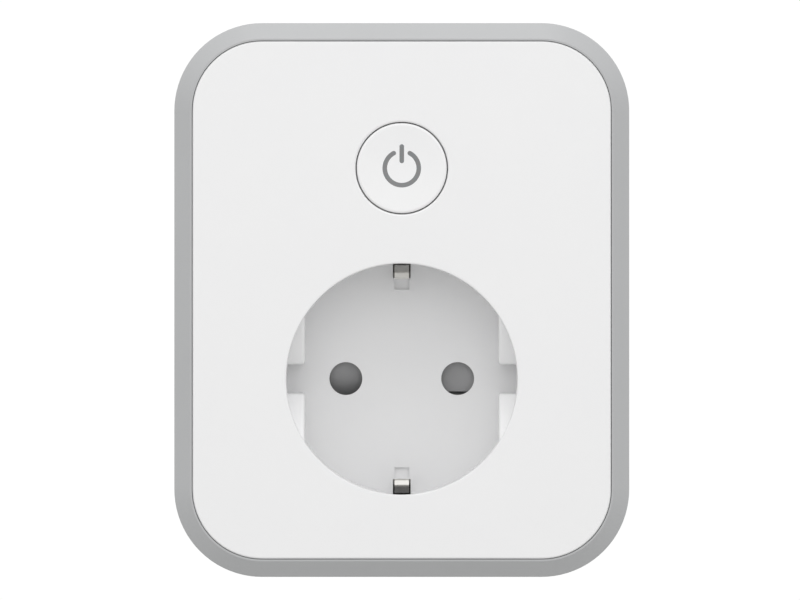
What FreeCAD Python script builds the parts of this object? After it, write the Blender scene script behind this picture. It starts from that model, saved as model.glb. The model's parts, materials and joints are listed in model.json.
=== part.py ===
"""Smart plug with one earthed outlet: the parametric model of every piece, in millimetres.

Frame: X to the right, Y back into the wall, Z up. The origin lies on the axis of the plug,
in the plane where the back of the housing meets the wall. Depths are counted forward from
the wall, so a depth d lies at Y = -d and the front face is at the depth housing_depth.
"""
import FreeCAD
import Part
import math
import os
import re
import Sketcher

Vector = FreeCAD.Vector
doc = FreeCAD.newDocument("SmartPlug")
sheet = doc.addObject("Spreadsheet::Sheet", "Dims")

# ---------------------------------------------------------------- driving dimensions
DIMENSIONS = [
    # housing
    ("body_width", 76.8, "housing, left to right"),
    ("body_height", 93.5, "housing, bottom to top"),
    ("body_corner", 14.8, "radius of the housing's corners"),
    ("axis_below_centre", 13.35, "plug axis below the middle of the housing"),
    ("housing_depth", 36.0, "wall to front face"),
    ("trim_depth", 6.0, "depth of the trim frame"),
    ("cover_inset", 0.25, "step in from the trim frame to the rear cover"),
    ("shell_wall", 2.2, "wall of the rear cover"),
    ("rear_rounding", 4.0, "rounding around the back"),
    ("plate_thick", 2.2, "front plate"),
    ("band_width", 3.0, "trim band seen from the front"),
    ("band_land", 0.3, "flat rim of the band beside the front plate"),
    ("band_drop", 2.5, "depth over which the band slopes"),
    ("band_rounding", 0.45, "outer edge of the band"),
    ("ledge_width", 2.2, "ledge of the trim frame under the front plate"),
    ("seam_gap", 0.08, "front plate to trim frame"),
    ("skirt_wall", 1.4, "skirt of the front cover"),
    ("skirt_depth", 6.5, "skirt behind the front plate"),
    ("face_rounding", 0.35, "front edges of the plate"),
    ("rim_rounding", 0.3, "front edge of the well"),
    ("overcut", 1.0, "reach of a cut past the surface it opens"),
    # outlet well
    ("well_radius", 19.5, "round well for the plug"),
    ("well_depth", 17.5, "front face to well floor"),
    ("cup_wall", 1.6, "wall of the well"),
    ("cup_floor", 2.0, "floor of the well"),
    ("rib_stand", 3.1, "a side rib stands out from the round wall"),
    ("rib_groove", 4.9, "groove between the two ribs of a side"),
    ("rib_start", 0.5, "front face to the rib at its far end"),
    ("rib_sink", 5.5, "front face to the rib at the groove"),
    ("pin_spacing", 19.0, "distance between the pin axes"),
    ("pin_hole_gap", 0.4, "pin to the pin hole in the floor"),
    ("slot_width", 3.0, "slot for an earth clip"),
    ("slot_reach", 2.4, "slot in the floor inside the round wall"),
    ("recess_width", 2.5, "recess in the floor beside a clip"),
    ("recess_length", 1.75, "recess in the floor, toward the axis"),
    ("recess_from_wall", 2.65, "round wall to that recess"),
    ("recess_depth", 0.5, "depth of that recess"),
    # button
    ("button_height", 35.58, "button above the plug axis"),
    ("button_radius", 7.6, "button cap"),
    ("button_gap", 0.2, "gap around the cap"),
    ("button_wall", 1.4, "front and side wall of the cap"),
    ("button_rounding", 0.35, "front edge of the cap"),
    ("button_travel", 0.4, "stroke of the button"),
    ("dish_depth", 0.25, "hollow of the cap's front"),
    ("dish_margin", 0.15, "flat rim around that hollow"),
    ("flange_reach", 1.1, "flange beyond the cap"),
    ("flange_thick", 1.1, "thickness of that flange"),
    ("flange_play", 0.1, "flange to front plate"),
    ("collar_gap", 0.3, "flange to its guide collar"),
    ("collar_wall", 1.2, "guide collar"),
    ("collar_depth", 3.2, "guide collar behind the plate"),
    ("stem_radius", 1.6, "stem behind the cap"),
    ("stem_length", 1.5, "stem behind the flange"),
    ("symbol_radius", 2.87, "middle of the symbol's ring"),
    ("symbol_stroke", 0.77, "stroke of the symbol"),
    ("symbol_gap_angle", 28.0, "half of the ring's open angle, degrees"),
    ("symbol_bar_low", 1.22, "lower round end of the bar, its centre"),
    ("symbol_bar_high", 3.66, "upper round end of the bar, its centre"),
    # plug at the back
    ("plug_radius", 18.4, "round plug body"),
    ("plug_depth", 17.0, "wall to the end of the plug body"),
    ("plug_flat_cut", 2.3, "a flat's step in from the round plug body"),
    ("plug_ridge", 4.5, "guide ridge on each flat"),
    ("plug_wall", 4.0, "wall of the plug body"),
    ("plug_end_wall", 3.0, "end wall of the plug body"),
    ("pin_radius", 2.4, "plug pin"),
    ("pin_length", 19.0, "pin beyond the plug body"),
    ("pin_boss_wall", 1.8, "wall of the boss around a pin"),
    ("pin_boss_height", 4.0, "boss above the end wall"),
    ("pin_collar_step", 1.0, "collar of a pin beyond the pin"),
    ("pin_shank_step", 0.2, "a pin is thinner inside the plug body"),
    ("pin_root", 0.3, "length of that thinner part outside the plug body"),
    ("pin_collar_thick", 1.2, "thickness of that collar"),
    ("rivet_radius", 1.5, "riveted neck of a pin"),
    ("rivet_head", 2.3, "riveted head of a pin"),
    ("rivet_thick", 0.7, "thickness of that head"),
    ("rivet_top_share", 0.8, "front of that head, share of its radius"),
    ("press_gap", 0.02, "gap drawn where a piece is pressed in"),
    ("channel_width", 5.5, "channel for a side earth contact"),
    ("channel_depth", 1.5, "depth of that channel"),
    ("channel_stop", 0.6, "closed end of that channel"),
    # contacts and bars
    ("carrier_step", 2.2, "front part of the contact carrier beyond the plug's room"),
    ("carrier_back", -6.0, "wall to the back of the carrier"),
    ("carrier_gap", 0.2, "carrier to the plug cavity"),
    ("pocket_gap", 0.25, "contact to the sides of its pocket"),
    ("pocket_end_gap", 0.4, "contact to the ends of its pocket"),
    ("pocket_floor", 1.5, "carrier under a contact"),
    ("leaf_play", 0.05, "pin to a leaf"),
    ("leaf_thick", 0.6, "contact leaf"),
    ("leaf_width", 5.0, "contact leaf"),
    ("leaf_sink", 0.9, "end of a leaf below the carrier's front"),
    ("bar_thick", 0.8, "busbars"),
    ("bar_slack", 0.15, "busbar to the slot around it"),
    ("riser_inner", 4.2, "axis to the inner edge of a riser"),
    ("riser_width", 3.0, "riser of an input bar"),
    ("riser_sink", 3.4, "riser inside the plug's room"),
    ("eye_drop", 3.0, "riser to where the bar's eye widens"),
    ("riser_above_board", 3.0, "main board to the front of an input bar"),
    ("load_bar_sink", 2.1, "load bar below the carrier's front"),
    ("load_bar_above_board", 0.4, "main board to a load bar"),
    ("bar_overlap", 3.5, "every bar beyond the lower edge of the main board"),
    ("tab_length", 1.5, "solder tab of a load bar"),
    ("tab_back", 4.6, "wall to the end of a solder tab"),
    # shutter
    ("chamber_step", 2.0, "room of the shutter inside the carrier's edge"),
    ("chamber_wall", 1.6, "wall around that room"),
    ("pivot_radius", 1.5, "pivot of the shutter"),
    ("pivot_fit", 0.08, "running gap on the pivot"),
    ("pivot_beyond", 0.6, "pivot beyond the front of the carrier"),
    ("shutter_hub", 4.0, "hub of the shutter"),
    ("shutter_end_gap", 1.4, "end of a wing to the wall of its room"),
    ("shutter_half", 3.2, "half the height of a wing"),
    ("shutter_room", 3.4, "carrier to the back of the well"),
    ("shutter_play", 0.25, "shutter to floor and to carrier"),
    ("shutter_slope", 2.0, "fall of a wing's ramp"),
    ("ramp_from_hub", 0.6, "hub to a wing's ramp"),
    ("spring_half", 2.6, "half the span of the leaf spring"),
    ("spring_sheet", 0.3, "sheet of the leaf spring"),
    ("spring_width", 2.4, "leaf spring, width"),
    ("spring_length", 2.4, "leaf spring, front to back"),
    ("spring_room", 3.3, "radius of the spring's seat"),
    ("spring_sink", 0.4, "spring below the carrier's front"),
    # earth
    ("clip_width", 2.45, "earth clip"),
    ("clip_thick", 0.6, "earth clip"),
    ("clip_behind_wall", 0.5, "round wall of the well to the straight clip"),
    ("clip_root_gap", 0.15, "earth contact's foot to the clip's root"),
    ("clip_straight", 4.0, "back of the well's floor to where the clip leans in"),
    ("clip_reach", 2.7, "the clip's apex stands into the well"),
    ("clip_apex_below", 8.0, "front face to the clip's apex"),
    ("clip_tip_reach", 0.4, "the clip's tip stands into the well"),
    ("clip_tip_below", 3.0, "front face to the clip's tip"),
    ("clip_bend_radius", 1.1, "bend at the apex"),
    ("earth_width", 5.0, "side earth contact of the plug"),
    ("earth_thick", 0.8, "earth sheet"),
    ("earth_gap", 0.1, "side earth contact to the floor of its channel"),
    ("earth_end", 15.8, "end of that contact behind the wall"),
    ("earth_foot_beyond", 2.5, "foot beyond the clip that rests on it"),
    ("bridge_gap", 0.6, "side earth contact to the earth bridge"),
    ("bridge_width", 3.0, "earth bridge"),
    # screws
    ("screw_reach", 5.4, "middle of a corner's rounding to its housing screw, sideways"),
    ("screw_rise", 5.55, "middle of a corner's rounding to its housing screw, up or down"),
    ("screw_radius", 1.5, "thread of a housing screw"),
    ("screw_head", 2.7, "head of a housing screw"),
    ("screw_head_thick", 1.9, "head of a housing screw"),
    ("screw_length", 16.0, "housing screw under its head"),
    ("screw_seat", 10.0, "wall to the seat of the heads"),
    ("screw_gap", 0.25, "screw to its clearance holes"),
    ("post_radius", 4.5, "post of the rear cover"),
    ("post_grip", 9.9, "post in front of the heads' seat"),
    ("boss_radius", 3.4, "boss of the front cover"),
    ("boss_gap", 0.2, "boss to the notch in the trim frame"),
    ("screw_tip", 0.8, "tapered tip of a screw"),
    ("screw_tip_share", 0.4, "end of that tip, share of the thread"),
    ("head_side_share", 0.5, "straight side of a head, share of its thickness"),
    ("head_top_share", 0.6, "top of a head, share of its radius"),
    ("drive_floor_share", 0.4, "metal under the cross drive, share of a head's thickness"),
    ("drive_width_share", 0.26, "arm of the cross drive, share of a head's radius"),
    ("drive_span_share", 1.2, "cross drive from end to end, share of a head's radius"),
    # boards
    ("board_side_room", 2.95, "main board to the side wall"),
    ("board_gap", 1.9, "well to the main board"),
    ("board_top_room", 1.15, "main board to the upper wall"),
    ("board_back", 5.4, "wall to the back of the main board"),
    ("board_thick", 1.6, "main board"),
    ("post_gap", 0.4, "post to the notch around it"),
    ("board_screw_inset", 2.6, "side of the main board to its screw"),
    ("board_screw_rise", 3.2, "lower edge of the main board to its screw"),
    ("small_screw", 1.1, "thread of a board screw"),
    ("small_head", 2.0, "head of a board screw"),
    ("small_head_thick", 1.3, "thickness of that head"),
    ("small_screw_gap", 0.15, "board screw to the hole in a board"),
    ("board_screw_length", 4.2, "screw of the main board under its head"),
    ("control_screw_length", 5.0, "screw of the control board under its head"),
    ("board_post_step", 0.5, "post of the main board beyond a screw's head"),
    ("lead_below", 0.8, "leads and legs behind a board"),
    ("control_width", 27.0, "control board"),
    ("control_height", 21.0, "control board"),
    ("control_thick", 1.2, "control board"),
    ("control_room", 5.4, "front plate to the control board"),
    ("control_post", 2.3, "radius of a post behind the plate"),
    ("switch_size", 6.0, "tact switch, square"),
    ("switch_thick", 2.2, "tact switch"),
    ("switch_floor", 0.6, "floor of the tact switch"),
    ("leg_size", 0.7, "leg of the tact switch, square"),
    ("leg_out", 0.35, "side of the switch to the middle of a leg"),
    ("leg_rise", 2.2, "middle of the switch to the middle of a leg"),
    ("leg_grip", 0.5, "leg in front of the control board"),
    ("leg_hole", 0.6, "radius of a leg's hole"),
    ("plunger_radius", 1.75, "plunger of the tact switch"),
    ("plunger_gap", 0.1, "plunger to the switch around and behind it"),
    ("led_rise", 5.4, "button's middle to the status light"),
    ("led_width", 3.2, "foot of the status light"),
    ("led_height", 2.2, "foot of the status light"),
    ("led_foot", 0.7, "thickness of that foot"),
    ("led_dome", 0.9, "lens of the status light, radius and height"),
    ("header_inset", 1.6, "upper edge of the control board to the header"),
    ("header_pitch", 2.54, "between two pins of the header"),
    ("header_thick", 2.5, "header behind the control board"),
    ("header_height", 2.4, "header, bottom to top"),
    ("header_pin", 0.64, "pin of the header, square"),
    ("header_pin_gap", 0.03, "pin to the holes it stands in"),
    ("header_pin_below", 5.2, "pin behind the control board"),
    ("header_pin_above", 0.7, "pin in front of the control board"),
    # relay
    ("relay_x", -19.0, "relay, sideways"),
    ("relay_rise", 13.7, "lower edge of the main board to the relay"),
    ("relay_width", 15.2, "relay"),
    ("relay_height", 18.2, "relay"),
    ("relay_depth", 15.5, "relay"),
    ("relay_wall", 0.8, "relay case"),
    ("relay_base", 1.6, "relay base"),
    ("relay_rounding", 0.6, "long edges of the relay case"),
    ("yoke_width", 8.0, "relay yoke"),
    ("yoke_thick", 1.2, "relay yoke"),
    ("yoke_height", 11.0, "relay yoke"),
    ("yoke_low", 7.0, "coil side of the yoke below the relay's middle"),
    ("yoke_high", 6.4, "hinge side of the yoke above the relay's middle"),
    ("coil_offset", 1.0, "coil below the relay's middle"),
    ("core_radius", 1.6, "relay core"),
    ("core_head", 2.6, "head of the core"),
    ("core_head_thick", 0.6, "thickness of that head"),
    ("bobbin_flange", 0.7, "thickness of a coil flange"),
    ("coil_radius", 4.5, "coil flanges"),
    ("winding_sink", 0.5, "winding below the flanges"),
    ("armature_gap", 0.45, "armature to core head, released"),
    ("armature_thick", 1.0, "armature"),
    ("armature_short", 1.0, "armature ends above the yoke's lower end"),
    ("hinge_gap", 0.05, "armature to yoke"),
    # parts on the main board
    ("transformer_rise", 24.2, "lower edge of the main board to the transformer"),
    ("transformer_width", 14.6, "transformer core"),
    ("transformer_core", 6.8, "transformer core, thickness"),
    ("transformer_top", 12.4, "transformer core, height"),
    ("transformer_leg", 2.5, "outer legs and yokes of the core"),
    ("transformer_stand", 1.2, "main board to the core"),
    ("winding_gap", 0.15, "winding to core"),
    ("winding_build", 3.0, "winding above and below the core"),
    ("winding_corner", 1.2, "corners of the winding"),
    ("bobbin_foot", 1.0, "foot of the transformer's bobbin"),
    ("bobbin_leg_gap", 0.6, "core to the legs of that bobbin"),
    ("capacitor_rise", 10.4, "lower edge of the main board to the capacitors"),
    ("capacitor_x", 4.6, "capacitors, sideways"),
    ("big_capacitor", 4.0, "radius of the larger capacitor"),
    ("big_capacitor_length", 13.0, "larger capacitor"),
    ("small_capacitor", 3.15, "radius of the smaller capacitor"),
    ("small_capacitor_length", 9.5, "smaller capacitor"),
    ("can_stand", 0.3, "main board to a can"),
    ("can_edge", 0.4, "rounded ends of a can"),
    ("crimp_rise", 1.4, "foot of a can to its crimped groove"),
    ("crimp_half", 0.4, "half the width of that groove"),
    ("crimp_depth", 0.35, "depth of that groove"),
    ("can_lead_share", 0.4, "middle of a can to a lead, share of its radius"),
    ("radio_x", 11.2, "radio board, sideways"),
    ("radio_thick", 0.8, "radio board"),
    ("radio_height", 16.0, "radio board, up"),
    ("radio_depth", 17.0, "radio board, forward"),
    ("radio_rise", 6.2, "lower edge of the main board to the radio board"),
    ("shield_thick", 2.2, "shield can"),
    ("shield_sheet", 0.3, "sheet of the shield can"),
    ("shield_back_room", 2.0, "main board to the shield can"),
    ("shield_front_room", 5.0, "shield can to the front of the radio board"),
    ("shield_side_room", 1.2, "shield can to the sides of the radio board"),
    ("film_x", 19.8, "film capacitor, sideways"),
    ("film_rise", 11.6, "lower edge of the main board to the film capacitor"),
    ("film_width", 6.4, "film capacitor"),
    ("film_height", 12.0, "film capacitor"),
    ("film_depth", 11.0, "film capacitor"),
    ("film_stand", 0.4, "main board to the film capacitor"),
    ("film_corner", 0.8, "corners of the film capacitor"),
    ("film_lead_share", 0.4, "middle of it to a lead, share of its height"),
    ("varistor_x", 29.0, "varistor, sideways"),
    ("varistor_rise", 15.0, "lower edge of the main board to the varistor"),
    ("varistor_radius", 4.4, "varistor disc"),
    ("varistor_thick", 3.2, "varistor disc"),
    ("varistor_stand", 1.5, "main board to the disc"),
    ("varistor_rounding", 0.8, "rim of the disc"),
    ("varistor_lead_out", 0.6, "middle of the disc to a lead, sideways"),
    ("varistor_lead_rise", 2.5, "middle of the disc to a lead, up or down"),
    ("lead_radius", 0.35, "wire leads"),
    ("lead_grip", 0.2, "lead inside a capacitor"),
    ("lead_gap", 0.15, "lead to the hole drilled for it"),
    ("choke_x", 19.4, "choke, sideways"),
    ("choke_rise", 23.6, "lower edge of the main board to the choke"),
    ("choke_ring", 3.5, "choke, middle of its ring"),
    ("choke_section", 1.5, "choke, radius of the ring's section"),
    ("choke_stand", 0.1, "main board to the choke"),
    ("fuse_x", 16.0, "fuse, sideways"),
    ("fuse_rise", 31.2, "lower edge of the main board to the fuse"),
    ("fuse_radius", 1.6, "fuse tube"),
    ("fuse_length", 10.0, "fuse, end to end"),
    ("fuse_stand", 0.4, "main board to the fuse"),
    ("fuse_cap", 2.2, "end cap of the fuse"),
    ("fuse_cap_step", 0.2, "cap beyond the tube"),
    ("fuse_tube_sink", 1.0, "end of the tube inside its cap"),
    ("chip_stand", 0.15, "main board to a chip"),
    ("chip_pitch", 1.2, "between two leads of a chip"),
    ("chip_lead_out", 0.35, "side of a chip to the middle of a lead"),
    ("chip_lead_width", 0.45, "lead of a chip"),
    ("chip_lead_length", 0.8, "lead of a chip"),
    ("chip_lead_thick", 0.6, "lead of a chip"),
]
# Sizes and places that follow the ones above: each one is worked out from what it fits.
FITTED = [
    ("cover_depth", "housing_depth - trim_depth", "wall to the rim of the rear cover"),
    ("rib_flat", "well_radius - rib_stand", "axis to the flat of a side rib"),
    ("rib_end",
     "sqrt(well_radius * well_radius - rib_flat * rib_flat)",
     "height where the flat meets the round wall"),
    ("recess_outer", "well_radius - recess_from_wall", "axis to the far edge of the floor recess"),
    ("recess_inner", "recess_outer - recess_length", "axis to the near edge of the floor recess"),
    ("pin_hole", "pin_radius + pin_hole_gap", "radius of a pin hole in the floor"),
    ("flange_radius", "button_radius + flange_reach", "flange that keeps the cap in"),
    ("plug_flat", "plug_radius - plug_flat_cut", "axis to the flats of the plug body"),
    ("plug_cavity", "plug_radius - plug_wall", "radius of the room inside the plug body"),
    ("channel_floor", "plug_radius - channel_depth", "axis to the floor of an earth channel"),
    ("pin_boss", "pin_radius + pin_boss_wall", "radius of the boss around a pin"),
    ("pin_collar", "pin_radius + pin_collar_step", "radius of the collar that holds a pin"),
    ("pin_shank", "pin_radius - pin_shank_step", "radius of a pin inside the plug body"),
    ("earth_stand", "channel_floor + earth_gap", "axis to the inside of a side earth contact"),
    ("bridge_inner", "earth_stand + earth_thick + bridge_gap", "earth bridge, inner radius"),
    ("bridge_outer", "bridge_inner + bridge_width", "earth bridge, outer radius"),
    ("clip_stand", "well_radius + clip_behind_wall", "axis to the inside of the straight clip"),
    ("clip_apex_height", "well_radius - clip_reach", "axis to the clip's apex"),
    ("clip_tip_height", "well_radius - clip_tip_reach", "axis to the clip's tip"),
    ("clip_bend",
     "housing_depth - well_depth - cup_floor + clip_straight",
     "wall to where the clip leans in"),
    ("clip_apex_depth", "housing_depth - clip_apex_below", "wall to the clip's apex"),
    ("clip_tip_depth", "housing_depth - clip_tip_below", "wall to the clip's tip"),
    ("clip_root", "shell_wall + bar_thick + earth_thick + clip_root_gap", "wall to the root of the clip"),
    ("earth_foot", "clip_stand + earth_foot_beyond", "axis to the end of an earth contact's foot"),
    ("carrier_radius", "plug_cavity + carrier_step", "contact carrier, front part"),
    ("carrier_front",
     "housing_depth - well_depth - cup_floor - shutter_room",
     "wall to the front of the carrier"),
    ("chamber_radius", "carrier_radius - chamber_step", "room of the shutter"),
    ("shutter_reach", "chamber_radius - shutter_end_gap", "axis to the end of a wing"),
    ("leaf_gap", "pin_radius + leaf_play", "pin axis to the inside of a leaf"),
    ("leaf_front", "carrier_front - leaf_sink", "wall to the end of a leaf"),
    ("contact_pocket", "2 * (leaf_gap + leaf_thick + pocket_gap)", "pocket for a contact, width"),
    ("pocket_height", "leaf_width + 2 * pocket_end_gap", "pocket for a contact, height"),
    ("riser_height", "plug_cavity - riser_sink", "riser above the plug axis"),
    ("riser_front", "board_back + board_thick + riser_above_board", "wall to the front of an input bar"),
    ("load_bar_front", "carrier_front - load_bar_sink", "wall to the front edge of a load bar"),
    ("load_bar_back",
     "board_back + board_thick + load_bar_above_board",
     "wall to the back edge of a load bar"),
    ("board_bottom", "well_radius + cup_wall + board_gap", "axis to the lower edge of the main board"),
    ("board_side",
     "body_width / 2 - cover_inset - shell_wall - board_side_room",
     "axis to the side of the main board"),
    ("board_top",
     "axis_below_centre + body_height / 2 - cover_inset - shell_wall - board_top_room",
     "axis to the upper edge of the main board"),
    ("bar_end", "board_bottom + bar_overlap", "axis to the upper end of every bar"),
    ("screw_side", "body_width / 2 - body_corner + screw_reach", "axis to a housing screw, sideways"),
    ("screw_span", "body_height - 2 * (body_corner - screw_rise)", "lower to upper housing screws"),
    ("post_front", "screw_seat + post_grip", "wall to the front of the posts"),
    ("board_notch_side", "screw_side - post_radius - post_gap", "axis to the corner notches"),
    ("board_notch_bottom",
     "axis_below_centre + screw_span / 2 - post_radius - post_gap",
     "axis to the foot of those notches"),
    ("board_screw_side", "board_side - board_screw_inset", "axis to a board screw, sideways"),
    ("board_screw_height", "board_bottom + board_screw_rise", "axis to a board screw, up"),
    ("control_front",
     "housing_depth - plate_thick - control_room",
     "wall to the front of the control board"),
    ("relay_z", "board_bottom + relay_rise", "relay, up"),
    ("transformer_z", "board_bottom + transformer_rise", "transformer, up"),
    ("capacitor_z", "board_bottom + capacitor_rise", "capacitors, up"),
    ("radio_bottom", "board_bottom + radio_rise", "axis to the foot of the radio board"),
    ("film_z", "board_bottom + film_rise", "film capacitor, up"),
    ("varistor_z", "board_bottom + varistor_rise", "varistor, up"),
    ("choke_z", "board_bottom + choke_rise", "choke, up"),
    ("fuse_z", "board_bottom + fuse_rise", "fuse, up"),
]
SIZES = DIMENSIONS + [(name, f"={formula}", note) for name, formula, note in FITTED]
DIMENSION_NAMES = {name for name, size, note in SIZES}
for row, (name, size, note) in enumerate(SIZES, start=1):
    sheet.set(f"A{row}", name)
    sheet.set(f"B{row}", str(size))
    sheet.set(f"C{row}", note)
    sheet.setAlias(f"B{row}", name)
doc.recompute()

# ---------------------------------------------------------------- places used by many pieces
WALL = "0"
FRONT = "housing_depth"
PLATE_BACK = "housing_depth - plate_thick"
WELL_FLOOR = "housing_depth - well_depth"
CUP_BACK = f"{WELL_FLOOR} - cup_floor"
BODY_MIDDLE = "axis_below_centre"
FACE_WIDTH = "body_width - 2 * band_width"
FACE_HEIGHT = "body_height - 2 * band_width"
FACE_CORNER = "body_corner - band_width"
PIN_SIDE = "pin_spacing / 2"
BOARD_FRONT = "board_back + board_thick"
CONTROL_BACK = "control_front - control_thick"
FLANGE_FRONT = f"{PLATE_BACK} - flange_play"
FLANGE_BACK = f"{FLANGE_FRONT} - flange_thick"
STEM_BACK = f"{FLANGE_BACK} - stem_length"
SCREW_LOW = f"{BODY_MIDDLE} - screw_span / 2"
SCREW_HIGH = f"{BODY_MIDDLE} + screw_span / 2"
CAVITY_END = "-plug_depth + plug_end_wall"
PIN_COLLAR_BACK = f"{CAVITY_END} + pin_boss_height"
PIN_COLLAR_FRONT = f"{PIN_COLLAR_BACK} + pin_collar_thick"
INPUT_BAR_FRONT = f"{PIN_COLLAR_FRONT} + bar_thick"
RELAY_FRONT = f"{BOARD_FRONT} + relay_depth"
YOKE_BACK = f"{BOARD_FRONT} + relay_base"
YOKE_FRONT = f"{YOKE_BACK} + yoke_height"
CORE_FRONT = f"{YOKE_FRONT} + hinge_gap - armature_gap"
LEAD_END = "board_back - lead_below"
EDGE_TOLERANCE = 0.01
SMALLEST_CUT = 1e-6
QUARTER_TURN = math.pi / 2
# The tip of a pin: shares of its radius, across and back from its end.
PIN_TIP = ((0.5, 0), (0.86, 0.3), (1, 0.7))
# Chips on the main board: name, place across and above its lower edge, width, height, thickness.
CHIPS = (
    ("rectifier", -19.5, 28.8, 6.4, 5.0, 2.4),
    ("driver", -11.8, 28.8, 4.9, 3.9, 1.6),
    ("meter", 26.0, 7.2, 3.9, 4.9, 1.6),
)
HEADER_PINS = 4

nodes = {}


# ---------------------------------------------------------------- small drawing kit
def bound(expression):
    """Return the expression with each dimension's name pointing at its cell."""
    def point_at_cell(match):
        word = match.group(0)
        return f"Dims.{word}" if word in DIMENSION_NAMES else word
    return re.sub(r"[a-z][a-z_]*", point_at_cell, str(expression))


def amount(expression):
    """Return the number that the expression has now."""
    return float(sheet.evalExpression(bound(expression)))


# A view gives the origin plane that a sketch lies on, and the signs of its two coordinates.
# front: (x, z), grown forward. side: (depth, z), grown along X. top: (x, depth), grown up.
VIEWS = {
    "front": ("XZ_Plane", 1, 1),
    "side": ("YZ_Plane", -1, 1),
    "top": ("XY_Plane", 1, -1),
}


def new_body(label):
    """Return a new body and list it as a node."""
    body = doc.addObject("PartDesign::Body", label)
    body.Label = label
    nodes[label] = body
    return body


def new_sketch(body, view, offset):
    """Return a sketch on the view's origin plane, moved along its normal."""
    role = VIEWS[view][0]
    plane = next(item for item in body.Origin.OriginFeatures if item.Role == role)
    sketch = body.newObject("Sketcher::SketchObject", "outline")
    sketch.AttachmentSupport = [(plane, "")]
    sketch.MapMode = "FlatFace"
    sketch.setExpression("AttachmentOffset.Base.z", bound(offset))
    return sketch


def bind(sketch, kind, where, expression):
    """Add a sized constraint that follows the sheet."""
    index = sketch.addConstraint(Sketcher.Constraint(kind, *where, amount(expression)))
    name = f"size{index}"
    sketch.renameConstraint(index, name)
    sketch.setExpression(f"Constraints.{name}", bound(expression))


def place_point(sketch, view, edge, end, first, second):
    """Fix one end of an edge at the two coordinates."""
    role, first_sign, second_sign = VIEWS[view]
    for kind, axis, sign, expression in (("DistanceX", -2, first_sign, first),
                                         ("DistanceY", -1, second_sign, second)):
        if str(expression) == "0":
            sketch.addConstraint(Sketcher.Constraint("PointOnObject", edge, end, axis))
        else:
            bind(sketch, kind, (-1, 1, edge, end), f"{sign} * ({expression})")


def polygon(*points):
    """Return a closed outline through points given as pairs of expressions."""
    def draw(sketch, view):
        role, first_sign, second_sign = VIEWS[view]
        corners = [Vector(first_sign * amount(a), second_sign * amount(b), 0) for a, b in points]
        base = len(sketch.Geometry)
        count = len(corners)
        for index, corner in enumerate(corners):
            sketch.addGeometry(Part.LineSegment(corner, corners[(index + 1) % count]))
        for index in range(count):
            following = base + (index + 1) % count
            sketch.addConstraint(Sketcher.Constraint("Coincident", base + index, 2, following, 1))
        for index, (first, second) in enumerate(points):
            place_point(sketch, view, base + index, 1, first, second)
    return draw


def box(first_low, first_high, second_low, second_high):
    """A rectangle between two pairs of coordinates."""
    return polygon((first_low, second_low), (first_high, second_low),
                   (first_high, second_high), (first_low, second_high))


def block(first, second, width, height):
    """A rectangle around its middle."""
    return box(f"{first} - ({width}) / 2", f"{first} + ({width}) / 2",
               f"{second} - ({height}) / 2", f"{second} + ({height}) / 2")


def disc(first, second, radius):
    """A circle around its middle."""
    def draw(sketch, view):
        role, first_sign, second_sign = VIEWS[view]
        centre = Vector(first_sign * amount(first), second_sign * amount(second), 0)
        edge = sketch.addGeometry(Part.Circle(centre, Vector(0, 0, 1), amount(radius)))
        place_point(sketch, view, edge, 3, first, second)
        bind(sketch, "Radius", (edge,), radius)
    return draw


def rounded(first, second, width, height, radius):
    """A rectangle with round corners, around its middle."""
    def draw(sketch, view):
        x, z = amount(first), amount(second)
        w, h, r = amount(width) / 2, amount(height) / 2, amount(radius)
        corners = [(x + w - r, z - h + r, -QUARTER_TURN), (x + w - r, z + h - r, 0),
                   (x - w + r, z + h - r, QUARTER_TURN), (x - w + r, z - h + r, 2 * QUARTER_TURN)]
        base = len(sketch.Geometry)
        arcs = []
        for cx, cz, start in corners:
            circle = Part.Circle(Vector(cx, cz, 0), Vector(0, 0, 1), r)
            arcs.append(Part.ArcOfCircle(circle, start, start + QUARTER_TURN))
        for index, arc in enumerate(arcs):
            following = arcs[(index + 1) % 4]
            sketch.addGeometry(arc)
            sketch.addGeometry(Part.LineSegment(arc.EndPoint, following.StartPoint))
        for index in range(4):
            arc = base + 2 * index
            line = arc + 1
            following = base + (2 * index + 2) % 8
            sketch.addConstraint(Sketcher.Constraint("Tangent", arc, 2, line, 1))
            sketch.addConstraint(Sketcher.Constraint("Tangent", line, 2, following, 1))
            if index:
                sketch.addConstraint(Sketcher.Constraint("Equal", base, arc))
        for edge, kind in ((1, "Vertical"), (3, "Horizontal"), (5, "Vertical"), (7, "Horizontal")):
            sketch.addConstraint(Sketcher.Constraint(kind, base + edge))
        bind(sketch, "Radius", (base,), radius)
        bind(sketch, "DistanceX", (-1, 1, base + 1, 1), f"{first} + ({width}) / 2")
        bind(sketch, "DistanceX", (-1, 1, base + 5, 1), f"{first} - ({width}) / 2")
        bind(sketch, "DistanceY", (-1, 1, base + 3, 1), f"{second} + ({height}) / 2")
        bind(sketch, "DistanceY", (-1, 1, base + 7, 1), f"{second} - ({height}) / 2")
    return draw


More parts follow.
